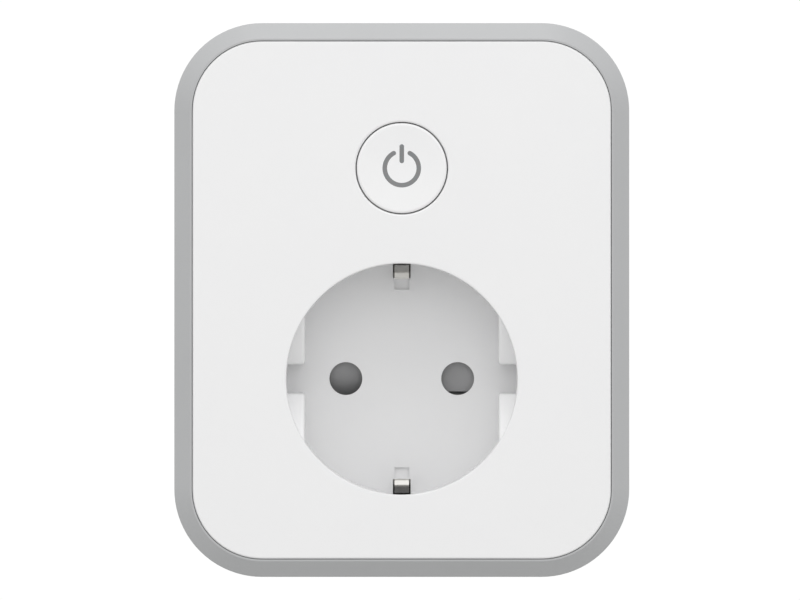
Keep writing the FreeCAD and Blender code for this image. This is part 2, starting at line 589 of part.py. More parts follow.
def barrel(radius, flat, across):
    """A circle about the axis, cut by two flats across x or across z."""
    def draw(sketch, view):
        r, half = amount(radius), amount(flat)
        reach = (r * r - half * half) ** 0.5
        put = {"x": lambda a, b: Vector(a, b, 0), "z": lambda a, b: Vector(-b, a, 0)}[across]
        base = len(sketch.Geometry)
        sketch.addGeometry(Part.LineSegment(put(half, -reach), put(half, reach)))
        sketch.addGeometry(Part.Arc(put(half, reach), put(0, r), put(-half, reach)))
        sketch.addGeometry(Part.LineSegment(put(-half, reach), put(-half, -reach)))
        sketch.addGeometry(Part.Arc(put(-half, -reach), put(0, -r), put(half, -reach)))
        for index in range(4):
            following = base + (index + 1) % 4
            sketch.addConstraint(Sketcher.Constraint("Coincident", base + index, 2, following, 1))
        direction, kind = {"x": ("Vertical", "DistanceX"), "z": ("Horizontal", "DistanceY")}[across]
        for line in (base, base + 2):
            sketch.addConstraint(Sketcher.Constraint(direction, line))
        for arc in (base + 1, base + 3):
            sketch.addConstraint(Sketcher.Constraint("Coincident", arc, 3, -1, 1))
        bind(sketch, "Radius", (base + 1,), radius)
        bind(sketch, kind, (-1, 1, base, 1), flat)
        bind(sketch, kind, (-1, 1, base + 2, 1), f"-({flat})")
    return draw


def add(body, name, view, start, end, *outlines):
    """Add the material inside the outlines, from start to end along the view's normal."""
    sketch = new_sketch(body, view, start)
    for draw in outlines:
        draw(sketch, view)
    pad = body.newObject("PartDesign::Pad", name)
    pad.Profile = sketch
    pad.setExpression("Length", bound(f"({end}) - ({start})"))
    doc.recompute()
    return pad


def cut(body, name, view, start, end, *outlines):
    """Take the material inside the outlines away, from start to end."""
    before = body.Shape.Volume
    sketch = new_sketch(body, view, end)
    for draw in outlines:
        draw(sketch, view)
    pocket = body.newObject("PartDesign::Pocket", name)
    pocket.Profile = sketch
    pocket.setExpression("Length", bound(f"({end}) - ({start})"))
    doc.recompute()
    if not 0 < body.Shape.Volume < before - SMALLEST_CUT:
        raise RuntimeError(f"{body.Label}: {name} takes nothing away")
    return pocket


def revolve(body, kind, name, points):
    """Turn the outline through points (radius, depth) about the body's own Y axis."""
    sketch = new_sketch(body, "top", "0")
    polygon(*points)(sketch, "top")
    feature = body.newObject(kind, name)
    feature.Profile = sketch
    feature.ReferenceAxis = (sketch, ["V_Axis"])
    feature.Angle = 360
    doc.recompute()
    return feature


def turn(body, name, *points):
    """Add a turned piece."""
    return revolve(body, "PartDesign::Revolution", name, points)


def turn_away(body, name, *points):
    """Take a turned outline away."""
    before = body.Shape.Volume
    feature = revolve(body, "PartDesign::Groove", name, points)
    if not 0 < body.Shape.Volume < before - SMALLEST_CUT:
        raise RuntimeError(f"{body.Label}: {name} takes nothing away")
    return feature


def round_edges(body, name, radius, chosen):
    """Round the edges of the body for which chosen(middle point, edge) is true."""
    feature = body.Tip
    names = []
    for index, edge in enumerate(feature.Shape.Edges, start=1):
        middle = edge.valueAt((edge.FirstParameter + edge.LastParameter) / 2)
        if chosen(middle, edge):
            names.append(f"Edge{index}")
    if not names:
        raise RuntimeError(f"{body.Label}: no edge to round for {name}")
    fillet = body.newObject("PartDesign::Fillet", name)
    fillet.Base = (feature, names)
    fillet.setExpression("Radius", bound(radius))
    doc.recompute()
    if "Invalid" in fillet.State:
        raise RuntimeError(f"{body.Label}: {name} can't be rounded")
    return fillet


def at_depth(expression):
    """Return a test for edges that lie wholly at one depth."""
    level = -amount(expression)

    def test(middle, edge):
        span = edge.BoundBox
        return max(abs(span.YMin - level), abs(span.YMax - level)) < EDGE_TOLERANCE
    return test


def runs_forward(middle, edge):
    """Tell whether an edge runs from back to front."""
    span = edge.BoundBox
    return span.YLength > span.XLength + span.ZLength


def move_to(thing, across, depth, up):
    """Place a piece by its own origin."""
    for axis, expression in (("x", across), ("y", f"-({depth})"), ("z", up)):
        thing.setExpression(f"Placement.Base.{axis}", bound(expression))


def listed(label, thing):
    """Give a shape its label and list it as a node."""
    thing.Label = label
    nodes[label] = thing
    return thing


def hidden_body(label):
    """A body that is only a step on the way to a node."""
    body = doc.addObject("PartDesign::Body", label)
    body.Label = label
    return body


def group(label, members):
    """List several separate solids as one node."""
    compound = doc.addObject("Part::Compound", label)
    compound.Links = members
    return listed(label, compound)


def mirrored(source, label, normal, height=None):
    """A mirror image across the plane x = 0, or across a height."""
    image = doc.addObject("Part::Mirroring", label)
    image.Source = source
    image.Normal = normal
    if height is not None:
        image.setExpression("Base.z", bound(height))
    return image


# ---------------------------------------------------------------- housing
def make_front_cover():
    """White front: plate, outlet well with ribs, skirt, collar, posts and shutter room."""
    body = new_body("front_cover")
    outer = "well_radius + cup_wall"
    add(body, "cup", "front", CUP_BACK, FRONT, disc("0", "0", outer))
    cut(body, "well", "front", WELL_FLOOR, FRONT, barrel("well_radius", "rib_flat", "x"))
    cut(body, "grooves", "front", WELL_FLOOR, FRONT, barrel("well_radius", "rib_groove / 2", "z"))
    far = f"{FRONT} - rib_start"
    near = f"{FRONT} - rib_sink"
    for name, sign in (("upper_ramps", 1), ("lower_ramps", -1)):
        groove = f"{sign} * rib_groove / 2"
        cut(body, name, "side", f"-({outer}) - overcut", f"{outer} + overcut",
            polygon((near, groove), (far, f"{sign} * rib_end"),
                    (f"{FRONT} + overcut", f"{sign} * rib_end"),
                    (f"{FRONT} + overcut", groove)))
    add(body, "well_wall", "front", CUP_BACK, FRONT,
        disc("0", "0", outer), disc("0", "0", "well_radius"))
    cut(body, "pin_holes", "front", CUP_BACK, WELL_FLOOR,
        disc(PIN_SIDE, "0", "pin_hole"), disc(f"-{PIN_SIDE}", "0", "pin_hole"))
    for sign in (1, -1):
        cut(body, "clip_slot", "front", CUP_BACK, PLATE_BACK,
            box("-slot_width / 2", "slot_width / 2", f"{sign} * (well_radius - slot_reach)",
                f"{sign} * ({outer} + overcut)"))
        cut(body, "floor_recess", "front", f"{WELL_FLOOR} - recess_depth", WELL_FLOOR,
            box("-recess_width / 2", "recess_width / 2", f"{sign} * recess_inner",
                f"{sign} * recess_outer"))
    add(body, "plate", "front", PLATE_BACK, FRONT,
        rounded("0", BODY_MIDDLE, f"{FACE_WIDTH} - 2 * seam_gap", f"{FACE_HEIGHT} - 2 * seam_gap",
                f"{FACE_CORNER} - seam_gap"),
        disc("0", "0", "well_radius"),
        disc("0", "button_height", "button_radius + button_gap"))
    skirt_width = f"{FACE_WIDTH} - 2 * (ledge_width + seam_gap)"
    skirt_height = f"{FACE_HEIGHT} - 2 * (ledge_width + seam_gap)"
    skirt_corner = f"{FACE_CORNER} - ledge_width - seam_gap"
    add(body, "skirt", "front", f"{PLATE_BACK} - skirt_depth", PLATE_BACK,
        rounded("0", BODY_MIDDLE, skirt_width, skirt_height, skirt_corner),
        rounded("0", BODY_MIDDLE, f"{skirt_width} - 2 * skirt_wall",
                f"{skirt_height} - 2 * skirt_wall", f"{skirt_corner} - skirt_wall"))
    collar_inner = "flange_radius + collar_gap"
    add(body, "button_collar", "front", f"{PLATE_BACK} - collar_depth", PLATE_BACK,
        disc("0", "button_height", f"{collar_inner} + collar_wall"),
        disc("0", "button_height", collar_inner))
    for side in ("screw_side", "-screw_side"):
        for height in (SCREW_LOW, SCREW_HIGH):
            add(body, "screw_boss", "front", "post_front + press_gap", PLATE_BACK,
                disc(side, height, "boss_radius"), disc(side, height, "screw_radius + press_gap"))
    for side in (1, -1):
        for up in (1, -1):
            across = f"{side} * (control_width / 2 - control_post)"
            height = f"button_height + {up} * (control_height / 2 - control_post)"
            add(body, "control_post", "front", "control_front", PLATE_BACK,
                disc(across, height, "control_post"),
                disc(across, height, "small_screw + press_gap"))
    add(body, "shutter_room", "front", "carrier_front", CUP_BACK,
        disc("0", "0", "chamber_radius + chamber_wall"), disc("0", "0", "chamber_radius"))
    add(body, "pivot", "front", "carrier_front - pivot_beyond", CUP_BACK,
        disc("0", "0", "pivot_radius"))
    at_front = at_depth(FRONT)
    beyond_well = amount(outer)

    def outer_or_button(middle, edge):
        return at_front(middle, edge) and (middle.x ** 2 + middle.z ** 2) ** 0.5 > beyond_well
    round_edges(body, "face_edges", "face_rounding", outer_or_button)
    bevel = "rim_rounding * (1 - sqrt(0.5))"
    turn_away(body, "well_rim", ("well_radius - overcut", f"{FRONT} + overcut"),
              ("well_radius - overcut", f"{FRONT} - rim_rounding"),
              ("well_radius", f"{FRONT} - rim_rounding"),
              (f"well_radius + {bevel}", f"{FRONT} - {bevel}"),
              ("well_radius + rim_rounding", FRONT),
              ("well_radius + rim_rounding", f"{FRONT} + overcut"))


def make_trim_frame():
    """Grey ring around the front plate, sloping outward like a wide bevel."""
    body = new_body("trim_frame")
    edge_depth = f"{FRONT} - band_drop"
    add(body, "ring", "front", "cover_depth", edge_depth,
        rounded("0", BODY_MIDDLE, "body_width", "body_height", "body_corner"))
    outlines = []
    for depth, shrink in ((edge_depth, "0"), (FRONT, "band_width - band_land")):
        sketch = new_sketch(body, "front", depth)
        rounded("0", BODY_MIDDLE, f"body_width - 2 * ({shrink})", f"body_height - 2 * ({shrink})",
                f"body_corner - ({shrink})")(sketch, "front")
        outlines.append(sketch)
    slope = body.newObject("PartDesign::AdditiveLoft", "slope")
    slope.Profile = outlines[0]
    slope.Sections = [outlines[1]]
    slope.Ruled = True
    doc.recompute()
    round_edges(body, "outer_edge", "band_rounding", at_depth(edge_depth))
    cut(body, "plate_seat", "front", PLATE_BACK, FRONT,
        rounded("0", BODY_MIDDLE, FACE_WIDTH, FACE_HEIGHT, FACE_CORNER))
    cut(body, "opening", "front", "cover_depth", PLATE_BACK,
        rounded("0", BODY_MIDDLE, f"{FACE_WIDTH} - 2 * ledge_width",
                f"{FACE_HEIGHT} - 2 * ledge_width", f"{FACE_CORNER} - ledge_width"))
    for across in ("screw_side", "-screw_side"):
        for up in (SCREW_LOW, SCREW_HIGH):
            cut(body, "boss_notch", "front", "cover_depth", PLATE_BACK,
                disc(across, up, "boss_radius + boss_gap"))


def make_rear_cover():
    """White shell with the round plug body, its earth channels and the screw posts."""
    body = new_body("rear_cover")
    width, height = "body_width - 2 * cover_inset", "body_height - 2 * cover_inset"
    corner = "body_corner - cover_inset"
    add(body, "shell", "front", WALL, "cover_depth",
        rounded("0", BODY_MIDDLE, width, height, corner))
    round_edges(body, "back_edge", "rear_rounding", at_depth(WALL))
    cut(body, "room", "front", "shell_wall", "cover_depth",
        rounded("0", BODY_MIDDLE, f"{width} - 2 * shell_wall", f"{height} - 2 * shell_wall",
                f"{corner} - shell_wall"))
    add(body, "plug", "front", "-plug_depth", WALL, barrel("plug_radius", "plug_flat", "x"))
    add(body, "ridges", "front", "-plug_depth", WALL,
        barrel("plug_radius", "plug_ridge / 2", "z"))
    cut(body, "cavity", "front", CAVITY_END, "shell_wall", disc("0", "0", "plug_cavity"))
    for side in (1, -1):
        across = f"{side} * {PIN_SIDE}"
        add(body, "pin_boss", "front", CAVITY_END, PIN_COLLAR_BACK, disc(across, "0", "pin_boss"))
        cut(body, "pin_bore", "front", "-plug_depth", PIN_COLLAR_BACK,
            disc(across, "0", "pin_radius + press_gap"))
        cut(body, "earth_channel", "front", "-plug_depth + channel_stop", WALL,
            box("-channel_width / 2", "channel_width / 2", f"{side} * channel_floor",
                f"{side} * (plug_radius + overcut)"))
        cut(body, "earth_slot", "front", WALL, "shell_wall",
            box("-channel_width / 2", "channel_width / 2", f"{side} * (earth_stand - bar_slack)",
                f"{side} * (earth_stand + earth_thick + bar_slack)"))
    for across in ("screw_side", "-screw_side"):
        for up in (SCREW_LOW, SCREW_HIGH):
            add(body, "screw_post", "front", "shell_wall", "post_front",
                disc(across, up, "post_radius"))
            cut(body, "screw_well", "front", WALL, "screw_seat",
                disc(across, up, "screw_head + screw_gap"))
            cut(body, "screw_hole", "front", "screw_seat", "post_front",
                disc(across, up, "screw_radius + screw_gap"))
    for across in ("board_screw_side", "-board_screw_side"):
        add(body, "board_post", "front", "shell_wall", "board_back",
            disc(across, "board_screw_height", "small_head + board_post_step"),
            disc(across, "board_screw_height", "small_screw + press_gap"))


def make_screws(label, body_label, seat, across, heights, sizes):
    """Place a screw at the left and right of each height, heads toward the seat's free side."""
    radius, head, head_thick, length, forward = sizes
    way = 1 if forward else -1
    screws = []
    for up in heights:
        screw = hidden_body(body_label)
        turn(screw, "shank", ("0", "0"), (radius, "0"), (radius, f"{-way} * ({length} - screw_tip)"),
             (f"{radius} * screw_tip_share", f"{-way} * {length}"), ("0", f"{-way} * {length}"))
        turn(screw, "head", ("0", "0"), (head, "0"), (head, f"{way} * {head_thick} * head_side_share"),
             (f"{head} * head_top_share", f"{way} * {head_thick}"), ("0", f"{way} * {head_thick}"))
        floor, top = f"{way} * {head_thick} * drive_floor_share", f"{way} * {head_thick}"
        low, high = sorted((floor, top), key=amount)
        narrow, wide = f"{head} * drive_width_share", f"{head} * drive_span_share"
        for name, width, height in (("drive", narrow, wide), ("cross_drive", wide, narrow)):
            cut(screw, name, "front", low, high, block("0", "0", width, height))
        move_to(screw, across, seat, up)
        screws.append(screw)
        screws.append(mirrored(screw, f"{body_label}_left", Vector(1, 0, 0)))
    return group(label, screws)


# ---------------------------------------------------------------- button
def symbol_outline(label):
    """The ring with a gap and a bar, standing through the front wall of the cap."""
    body = hidden_body(label)
    back, front = f"{FRONT} - button_wall", f"{FRONT} + overcut"
    half = "symbol_stroke / 2"
    add(body, "ring", "front", back, front,
        disc("0", "button_height", f"symbol_radius + {half}"),
        disc("0", "button_height", f"symbol_radius - {half}"))
    reach = "(symbol_radius + symbol_stroke)"
    wide = f"{reach} * tan(symbol_gap_angle)"
    cut(body, "gap", "front", back, front,
        polygon(("0", "button_height"), (wide, f"button_height + {reach}"),
                (f"-{wide}", f"button_height + {reach}")))
    end_x = "symbol_radius * sin(symbol_gap_angle)"
    end_z = "button_height + symbol_radius * cos(symbol_gap_angle)"
    add(body, "right_end", "front", back, front, disc(end_x, end_z, half))
    add(body, "left_end", "front", back, front, disc(f"-({end_x})", end_z, half))
    low, high = "button_height + symbol_bar_low", "button_height + symbol_bar_high"
    add(body, "bar", "front", back, front, box(f"-({half})", half, low, high))
    add(body, "bar_low_end", "front", back, front, disc("0", low, half))
    add(body, "bar_high_end", "front", back, front, disc("0", high, half))
    return body


def make_button():
    """Cap with its flange and stem, the symbol moulded into it, and the switch under it."""
    cap = hidden_body("button_cap")
    add(cap, "cap", "front", FLANGE_BACK, FRONT, disc("0", "button_height", "button_radius"))
    round_edges(cap, "front_edge", "button_rounding", at_depth(FRONT))
    add(cap, "flange", "front", FLANGE_BACK, FLANGE_FRONT,
        disc("0", "button_height", "flange_radius"))
    cut(cap, "hollow", "front", FLANGE_BACK, f"{FRONT} - button_wall",
        disc("0", "button_height", "button_radius - button_wall"))
    add(cap, "stem", "front", STEM_BACK, f"{FRONT} - button_wall",
        disc("0", "button_height", "stem_radius"))
    ball = doc.addObject("Part::Sphere", "dish_ball")
    rim = "(button_radius - button_rounding - dish_margin)"
    ball_radius = f"({rim} * {rim} + dish_depth * dish_depth) / (2 * dish_depth)"
    ball.setExpression("Radius", bound(ball_radius))
    move_to(ball, "0", f"{FRONT} - dish_depth + {ball_radius}", "button_height")
    symbol = symbol_outline("symbol_outline")
    dished = doc.addObject("Part::Cut", "dished_cap")
    dished.Base, dished.Tool = cap, ball
    button = doc.addObject("Part::Cut", "power_button")
    button.Base, button.Tool = dished, symbol
    listed("power_button", button)
    inlay = doc.addObject("Part::Cut", "button_symbol")
    inlay.Base, inlay.Tool = symbol, ball
    listed("button_symbol", inlay)
    doc.recompute()

    switch = new_body("tact_switch")
    switch_front = "control_front + switch_thick"
    add(switch, "case", "front", "control_front", switch_front,
        block("0", "button_height", "switch_size", "switch_size"))
    cut(switch, "well", "front", "control_front + switch_floor", switch_front,
        disc("0", "button_height", "plunger_radius + plunger_gap"))
    for side in (1, -1):
        for up in (1, -1):
            add(switch, "leg", "front", f"{CONTROL_BACK} - lead_below", "control_front + leg_grip",
                block(f"{side} * (switch_size / 2 + leg_out)",
                      f"button_height + {up} * leg_rise", "leg_size", "leg_size"))
    plunger = new_body("tact_plunger")
    add(plunger, "plunger", "front",
        "control_front + switch_floor + button_travel + plunger_gap", STEM_BACK,
        disc("0", "button_height", "plunger_radius"))

    board = new_body("control_board")
    add(board, "sheet", "front", CONTROL_BACK, "control_front",
        block("0", "button_height", "control_width", "control_height"))
    for side in (1, -1):
        for up in (1, -1):
            cut(board, "switch_leg_hole", "front", CONTROL_BACK, "control_front",
                disc(f"{side} * (switch_size / 2 + leg_out)",
                     f"button_height + {up} * leg_rise", "leg_hole"))
            cut(board, "screw_hole", "front", CONTROL_BACK, "control_front",
                disc(f"{side} * (control_width / 2 - control_post)",
                     f"button_height + {up} * (control_height / 2 - control_post)",
                     "small_screw + small_screw_gap"))
    led = new_body("status_led")
    led_up = "button_height + led_rise"
    add(led, "foot", "front", "control_front", "control_front + led_foot",
        block("0", led_up, "led_width", "led_height"))
    add(led, "lens", "front", "control_front + led_foot", "control_front + led_foot + led_dome",
        disc("0", led_up, "led_dome"))
    make_screws("control_board_screws", "control_screw", CONTROL_BACK,
                "control_width / 2 - control_post",
                ("button_height - control_height / 2 + control_post",
                 "button_height + control_height / 2 - control_post"),
                ("small_screw", "small_head", "small_head_thick", "control_screw_length", False))


# ---------------------------------------------------------------- outlet and plug contacts
def make_contact_carrier():
    """Moulded block behind the well that holds both contacts and closes the shutter room."""
    body = new_body("contact_carrier")
    add(body, "front_part", "front", "shell_wall", "carrier_front", disc("0", "0", "carrier_radius"))
    add(body, "back_part", "front", "carrier_back", "shell_wall",
        disc("0", "0", "plug_cavity - carrier_gap"))
    cut(body, "spring_seat", "front", "carrier_front - spring_length - spring_sink", "carrier_front",
        disc("0", "0", "spring_room"))
    pocket_back = "carrier_back + pocket_floor"
    for side in (1, -1):
        cut(body, "contact_pocket", "front", pocket_back, "carrier_front",
            block(f"{side} * {PIN_SIDE}", "0", "contact_pocket", "pocket_height"))
        bar_inner = f"{PIN_SIDE} + leaf_gap + leaf_thick - bar_slack"
        bar_outer = f"{PIN_SIDE} + leaf_gap + leaf_thick + bar_thick + bar_slack"
        cut(body, "load_bar_slot", "front", "load_bar_back - bar_slack", "carrier_front",
            box(f"{side} * ({bar_inner})", f"{side} * ({bar_outer})", "-leaf_width / 2 - bar_slack",
                "carrier_radius"))
        inner = f"{side} * (riser_inner - bar_slack)"
        outer = f"{side} * (riser_inner + riser_width + bar_slack)"
        cut(body, "riser_slot", "front", "carrier_back", "carrier_front",
            box(inner, outer, "riser_height - bar_slack", "riser_height + bar_thick + bar_slack"))
        cut(body, "riser_exit", "front", "riser_front - bar_thick - bar_slack", "carrier_front",
            box(inner, outer, "riser_height + bar_thick", "carrier_radius"))


def make_contact(label, side):
    """Folded brass contact: two leaves that grip a pin, joined at the back."""
    body = new_body(label)
    back = "carrier_back + pocket_floor"
    outer, inner = "leaf_gap + leaf_thick", "leaf_gap"
    add(body, "fold", "top", "-leaf_width / 2", "leaf_width / 2",
        polygon((f"-({outer})", back), (outer, back), (outer, "leaf_front"), (inner, "leaf_front"),
                (inner, f"{back} + leaf_thick"), (f"-({inner})", f"{back} + leaf_thick"),
                (f"-({inner})", "leaf_front"), (f"-({outer})", "leaf_front")))
    move_to(body, f"{side} * {PIN_SIDE}", "0", "0")


def make_load_bar(label, side):
    """Flat bar from the main board down to the outer leaf of a contact."""
    body = new_body(label)
    low = f"{PIN_SIDE} + leaf_gap + leaf_thick"
    start, end = low, f"{low} + bar_thick"
    if side < 0:
        start, end = f"-({end})", f"-({start})"
    add(body, "bar", "side", start, end,
        polygon(("load_bar_back", "-leaf_width / 2"), ("load_bar_front", "-leaf_width / 2"),
                ("load_bar_front", "bar_end"), ("tab_back", "bar_end"),
                ("tab_back", "bar_end - tab_length"), ("load_bar_back", "bar_end - tab_length")))


def make_input_bar(label, side):
    """Bar from a pin's riveted neck, up beside the carrier and over to the main board."""
    body = new_body(label)
    inner, outer = f"{side} * riser_inner", f"{side} * (riser_inner + riser_width)"
    neck = f"{side} * ({PIN_SIDE} - rivet_head)"
    far = f"{side} * ({PIN_SIDE} + rivet_head)"
    riser_top = "riser_height + bar_thick"
    add(body, "eye", "front", PIN_COLLAR_FRONT, INPUT_BAR_FRONT,
        polygon((neck, "-rivet_head"), (far, "-rivet_head"), (far, "rivet_head"),
                (outer, riser_top), (inner, riser_top), (inner, "riser_height - eye_drop"),
                (neck, "rivet_head")),
        disc(f"{side} * {PIN_SIDE}", "0", "rivet_radius + press_gap"))
    add(body, "riser", "front", PIN_COLLAR_FRONT, "riser_front",
        box(inner, outer, "riser_height", riser_top))
    add(body, "run", "front", "riser_front - bar_thick", "riser_front",
        box(inner, outer, "riser_height", "bar_end"))
    add(body, "tab", "front", "tab_back", "riser_front",
        box(inner, outer, "bar_end - bar_thick", "bar_end"))


def make_pin(label, side):
    """Turned plug pin: round tip, collar inside the plug body, riveted neck."""
    body = new_body(label)
    tip = "-plug_depth - pin_length"
    rounding = [(f"pin_radius * {across}", f"{tip} + pin_radius * {back}")
                for across, back in PIN_TIP]
    turn(body, "pin", ("0", tip), *rounding, ("pin_radius", "-plug_depth - pin_root"),
         ("pin_shank", "-plug_depth - pin_root"), ("pin_shank", PIN_COLLAR_BACK),
         ("pin_collar", PIN_COLLAR_BACK), ("pin_collar", PIN_COLLAR_FRONT),
         ("rivet_radius", PIN_COLLAR_FRONT), ("rivet_radius", INPUT_BAR_FRONT),
         ("rivet_head", INPUT_BAR_FRONT),
         ("rivet_head * rivet_top_share", f"{INPUT_BAR_FRONT} + rivet_thick"),
         ("0", f"{INPUT_BAR_FRONT} + rivet_thick"))
    move_to(body, f"{side} * {PIN_SIDE}", "0", "0")


def make_shutter():
    """Turning guard behind the pin holes, with a ramp on each wing."""
    body = new_body("shutter")
    back, front = "carrier_front + shutter_play", f"{CUP_BACK} - shutter_play"
    add(body, "wings", "front", back, front,
        box("-shutter_reach", "shutter_reach", "-shutter_half", "shutter_half"))
    add(body, "hub", "front", back, front, disc("0", "0", "shutter_hub"))
    near, far = "shutter_hub + ramp_from_hub", "shutter_reach + overcut"
    for name, side, start, end in (("right_ramp", -1, near, far),
                                   ("left_ramp", 1, f"-({far})", f"-({near})")):
        high, low = f"{side} * shutter_half", f"{-side} * (shutter_half + overcut)"
        cut(body, name, "side", start, end,
            polygon((front, high), (f"{front} + overcut", high), (f"{front} + overcut", low),
                    (f"{front} - shutter_slope", low)))
    cut(body, "bore", "front", back, front, disc("0", "0", "pivot_radius + pivot_fit"))


def make_shutter_spring():
    """Folded leaf of spring sheet that sits in the carrier behind the shutter's hub."""
    body = new_body("shutter_spring")
    back, front = "carrier_front - spring_length - spring_sink", "carrier_front - spring_sink"
    outer, inner = "spring_half", "spring_half - spring_sheet"
    add(body, "fold", "top", "-spring_width / 2", "spring_width / 2",
        polygon((f"-({outer})", back), (outer, back), (outer, front), (inner, front),
                (inner, f"{back} + spring_sheet"), (f"-({inner})", f"{back} + spring_sheet"),
                (f"-({inner})", front), (f"-({outer})", front)))


def make_earth_clip(label, sign):
    """Springy clip in a slot of the well, bent toward the axis."""
    body = new_body(label)
    near = [("clip_root", "clip_stand"), ("clip_bend", "clip_stand"),
            ("clip_apex_depth", "clip_apex_height"), ("clip_tip_depth", "clip_tip_height")]
    far = [(depth, f"{height} + clip_thick") for depth, height in reversed(near)]
    points = [(depth, f"{sign} * ({height})") for depth, height in near + far]
    add(body, "clip", "side", "-clip_width / 2", "clip_width / 2", polygon(*points))
    apex_depth = -amount("clip_apex_depth")
    inside = sign * amount("clip_apex_height")
    outside = sign * amount("clip_apex_height + clip_thick")

    def along_x_at(height):
        return lambda middle, edge: (abs(middle.y - apex_depth) < EDGE_TOLERANCE
                                     and abs(middle.z - height) < EDGE_TOLERANCE)
    round_edges(body, "apex", "clip_bend_radius", along_x_at(inside))
    round_edges(body, "apex_back", "clip_bend_radius - clip_thick", along_x_at(outside))


def make_plug_earth(label, sign):
    """Side earth contact of the plug with a foot inside the housing."""
    body = new_body(label)
    foot_back = "shell_wall + bar_thick"
    foot_front = f"{foot_back} + earth_thick"
    outer = "earth_stand + earth_thick"
    points = [("-earth_end", "earth_stand"), (foot_front, "earth_stand"),
              (foot_front, "earth_foot"), (foot_back, "earth_foot"),
              (foot_back, outer), ("-earth_end", outer)]
    add(body, "contact", "side", "-earth_width / 2", "earth_width / 2",
        polygon(*[(depth, f"{sign} * ({height})") for depth, height in points]))


def make_earth_bridge():
    """Half ring on the floor of the rear cover that joins both earth contacts."""
    body = new_body("earth_bridge")
    back, front = "shell_wall", "shell_wall + bar_thick"
    add(body, "ring", "front", back, front, disc("0", "0", "bridge_outer"),
        disc("0", "0", "bridge_inner"))
    cut(body, "open_half", "front", back, front,
        box("earth_width / 2", "bridge_outer + overcut", "-bridge_outer - overcut",
            "bridge_outer + overcut"))


# ---------------------------------------------------------------- boards and their parts
def drill_lead(across, up):
    """Drill the main board for one wire lead."""
    cut(nodes["main_board"], "lead_hole", "front", "board_back", BOARD_FRONT,
        disc(across, up, "lead_radius + lead_gap"))


def make_main_board():
    """Main board: sheet with corner notches, slots for the bars and screw holes."""
    body = new_body("main_board")
    back, front = "board_back", BOARD_FRONT
    notch, foot = "board_notch_side", "board_notch_bottom"
    add(body, "sheet", "front", back, front,
        polygon(("-board_side", "board_bottom"), ("board_side", "board_bottom"),
                ("board_side", foot), (notch, foot), (notch, "board_top"),
                (f"-{notch}", "board_top"), (f"-{notch}", foot), ("-board_side", foot)))
    for side in (1, -1):
        cut(body, "input_slot", "front", back, front,
            box(f"{side} * (riser_inner - bar_slack)",
                f"{side} * (riser_inner + riser_width + bar_slack)",
                "bar_end - bar_thick - bar_slack", "bar_end + bar_slack"))
        low = f"{PIN_SIDE} + leaf_gap + leaf_thick"
        cut(body, "load_slot", "front", back, front,
            box(f"{side} * ({low} - bar_slack)", f"{side} * ({low} + bar_thick + bar_slack)",
                "bar_end - tab_length - bar_slack", "bar_end + bar_slack"))
        cut(body, "screw_hole", "front", back, front,
            disc(f"{side} * board_screw_side", "board_screw_height", "small_screw + small_screw_gap"))
    make_screws("main_board_screws", "board_screw", BOARD_FRONT, "board_screw_side",
                ("board_screw_height",),
                ("small_screw", "small_head", "small_head_thick", "board_screw_length", True))


def make_relay():
    """Relay opened up: base, case, yoke with core, coil and the armature that swings."""
    base = new_body("relay_base")
    add(base, "base", "front", BOARD_FRONT, YOKE_BACK,
        block("relay_x", "relay_z", "relay_width", "relay_height"))
    case = new_body("relay_case")
    add(case, "case", "front", YOKE_BACK, RELAY_FRONT,
        block("relay_x", "relay_z", "relay_width", "relay_height"))
    round_edges(case, "corners", "relay_rounding", runs_forward)
    cut(case, "room", "front", YOKE_BACK, f"{RELAY_FRONT} - relay_wall",
        block("relay_x", "relay_z", "relay_width - 2 * relay_wall",
              "relay_height - 2 * relay_wall"))
    yoke = new_body("relay_yoke")
    coil_z = "relay_z - coil_offset"
    add(yoke, "frame", "side", "relay_x - yoke_width / 2", "relay_x + yoke_width / 2",
        polygon((YOKE_BACK, "relay_z - yoke_low"), (YOKE_BACK, "relay_z + yoke_high"),
                (YOKE_FRONT, "relay_z + yoke_high"),
                (YOKE_FRONT, "relay_z + yoke_high - yoke_thick"),
                (f"{YOKE_BACK} + yoke_thick", "relay_z + yoke_high - yoke_thick"),
                (f"{YOKE_BACK} + yoke_thick", "relay_z - yoke_low")))
    add(yoke, "core", "front", f"{YOKE_BACK} + yoke_thick", CORE_FRONT,
        disc("relay_x", coil_z, "core_radius"))
    add(yoke, "core_head", "front", f"{CORE_FRONT} - core_head_thick", CORE_FRONT,
        disc("relay_x", coil_z, "core_head"))
    coil = new_body("relay_coil")
    coil_back, coil_front = f"{YOKE_BACK} + yoke_thick", f"{CORE_FRONT} - core_head_thick"
    winding, bore = "coil_radius - winding_sink", "core_radius + press_gap"
    turn(coil, "bobbin", (bore, coil_back), ("coil_radius", coil_back),
         ("coil_radius", f"{coil_back} + bobbin_flange"),
         (winding, f"{coil_back} + bobbin_flange"), (winding, f"{coil_front} - bobbin_flange"),
         ("coil_radius", f"{coil_front} - bobbin_flange"),
         ("coil_radius", coil_front), (bore, coil_front))
    move_to(coil, "relay_x", "0", coil_z)
    armature = new_body("relay_armature")
    armature_back = f"{YOKE_FRONT} + hinge_gap"
    add(armature, "plate", "front", armature_back, f"{armature_back} + armature_thick",
        box("relay_x - yoke_width / 2", "relay_x + yoke_width / 2",
            "relay_z - yoke_low + armature_short", "relay_z + yoke_high"))


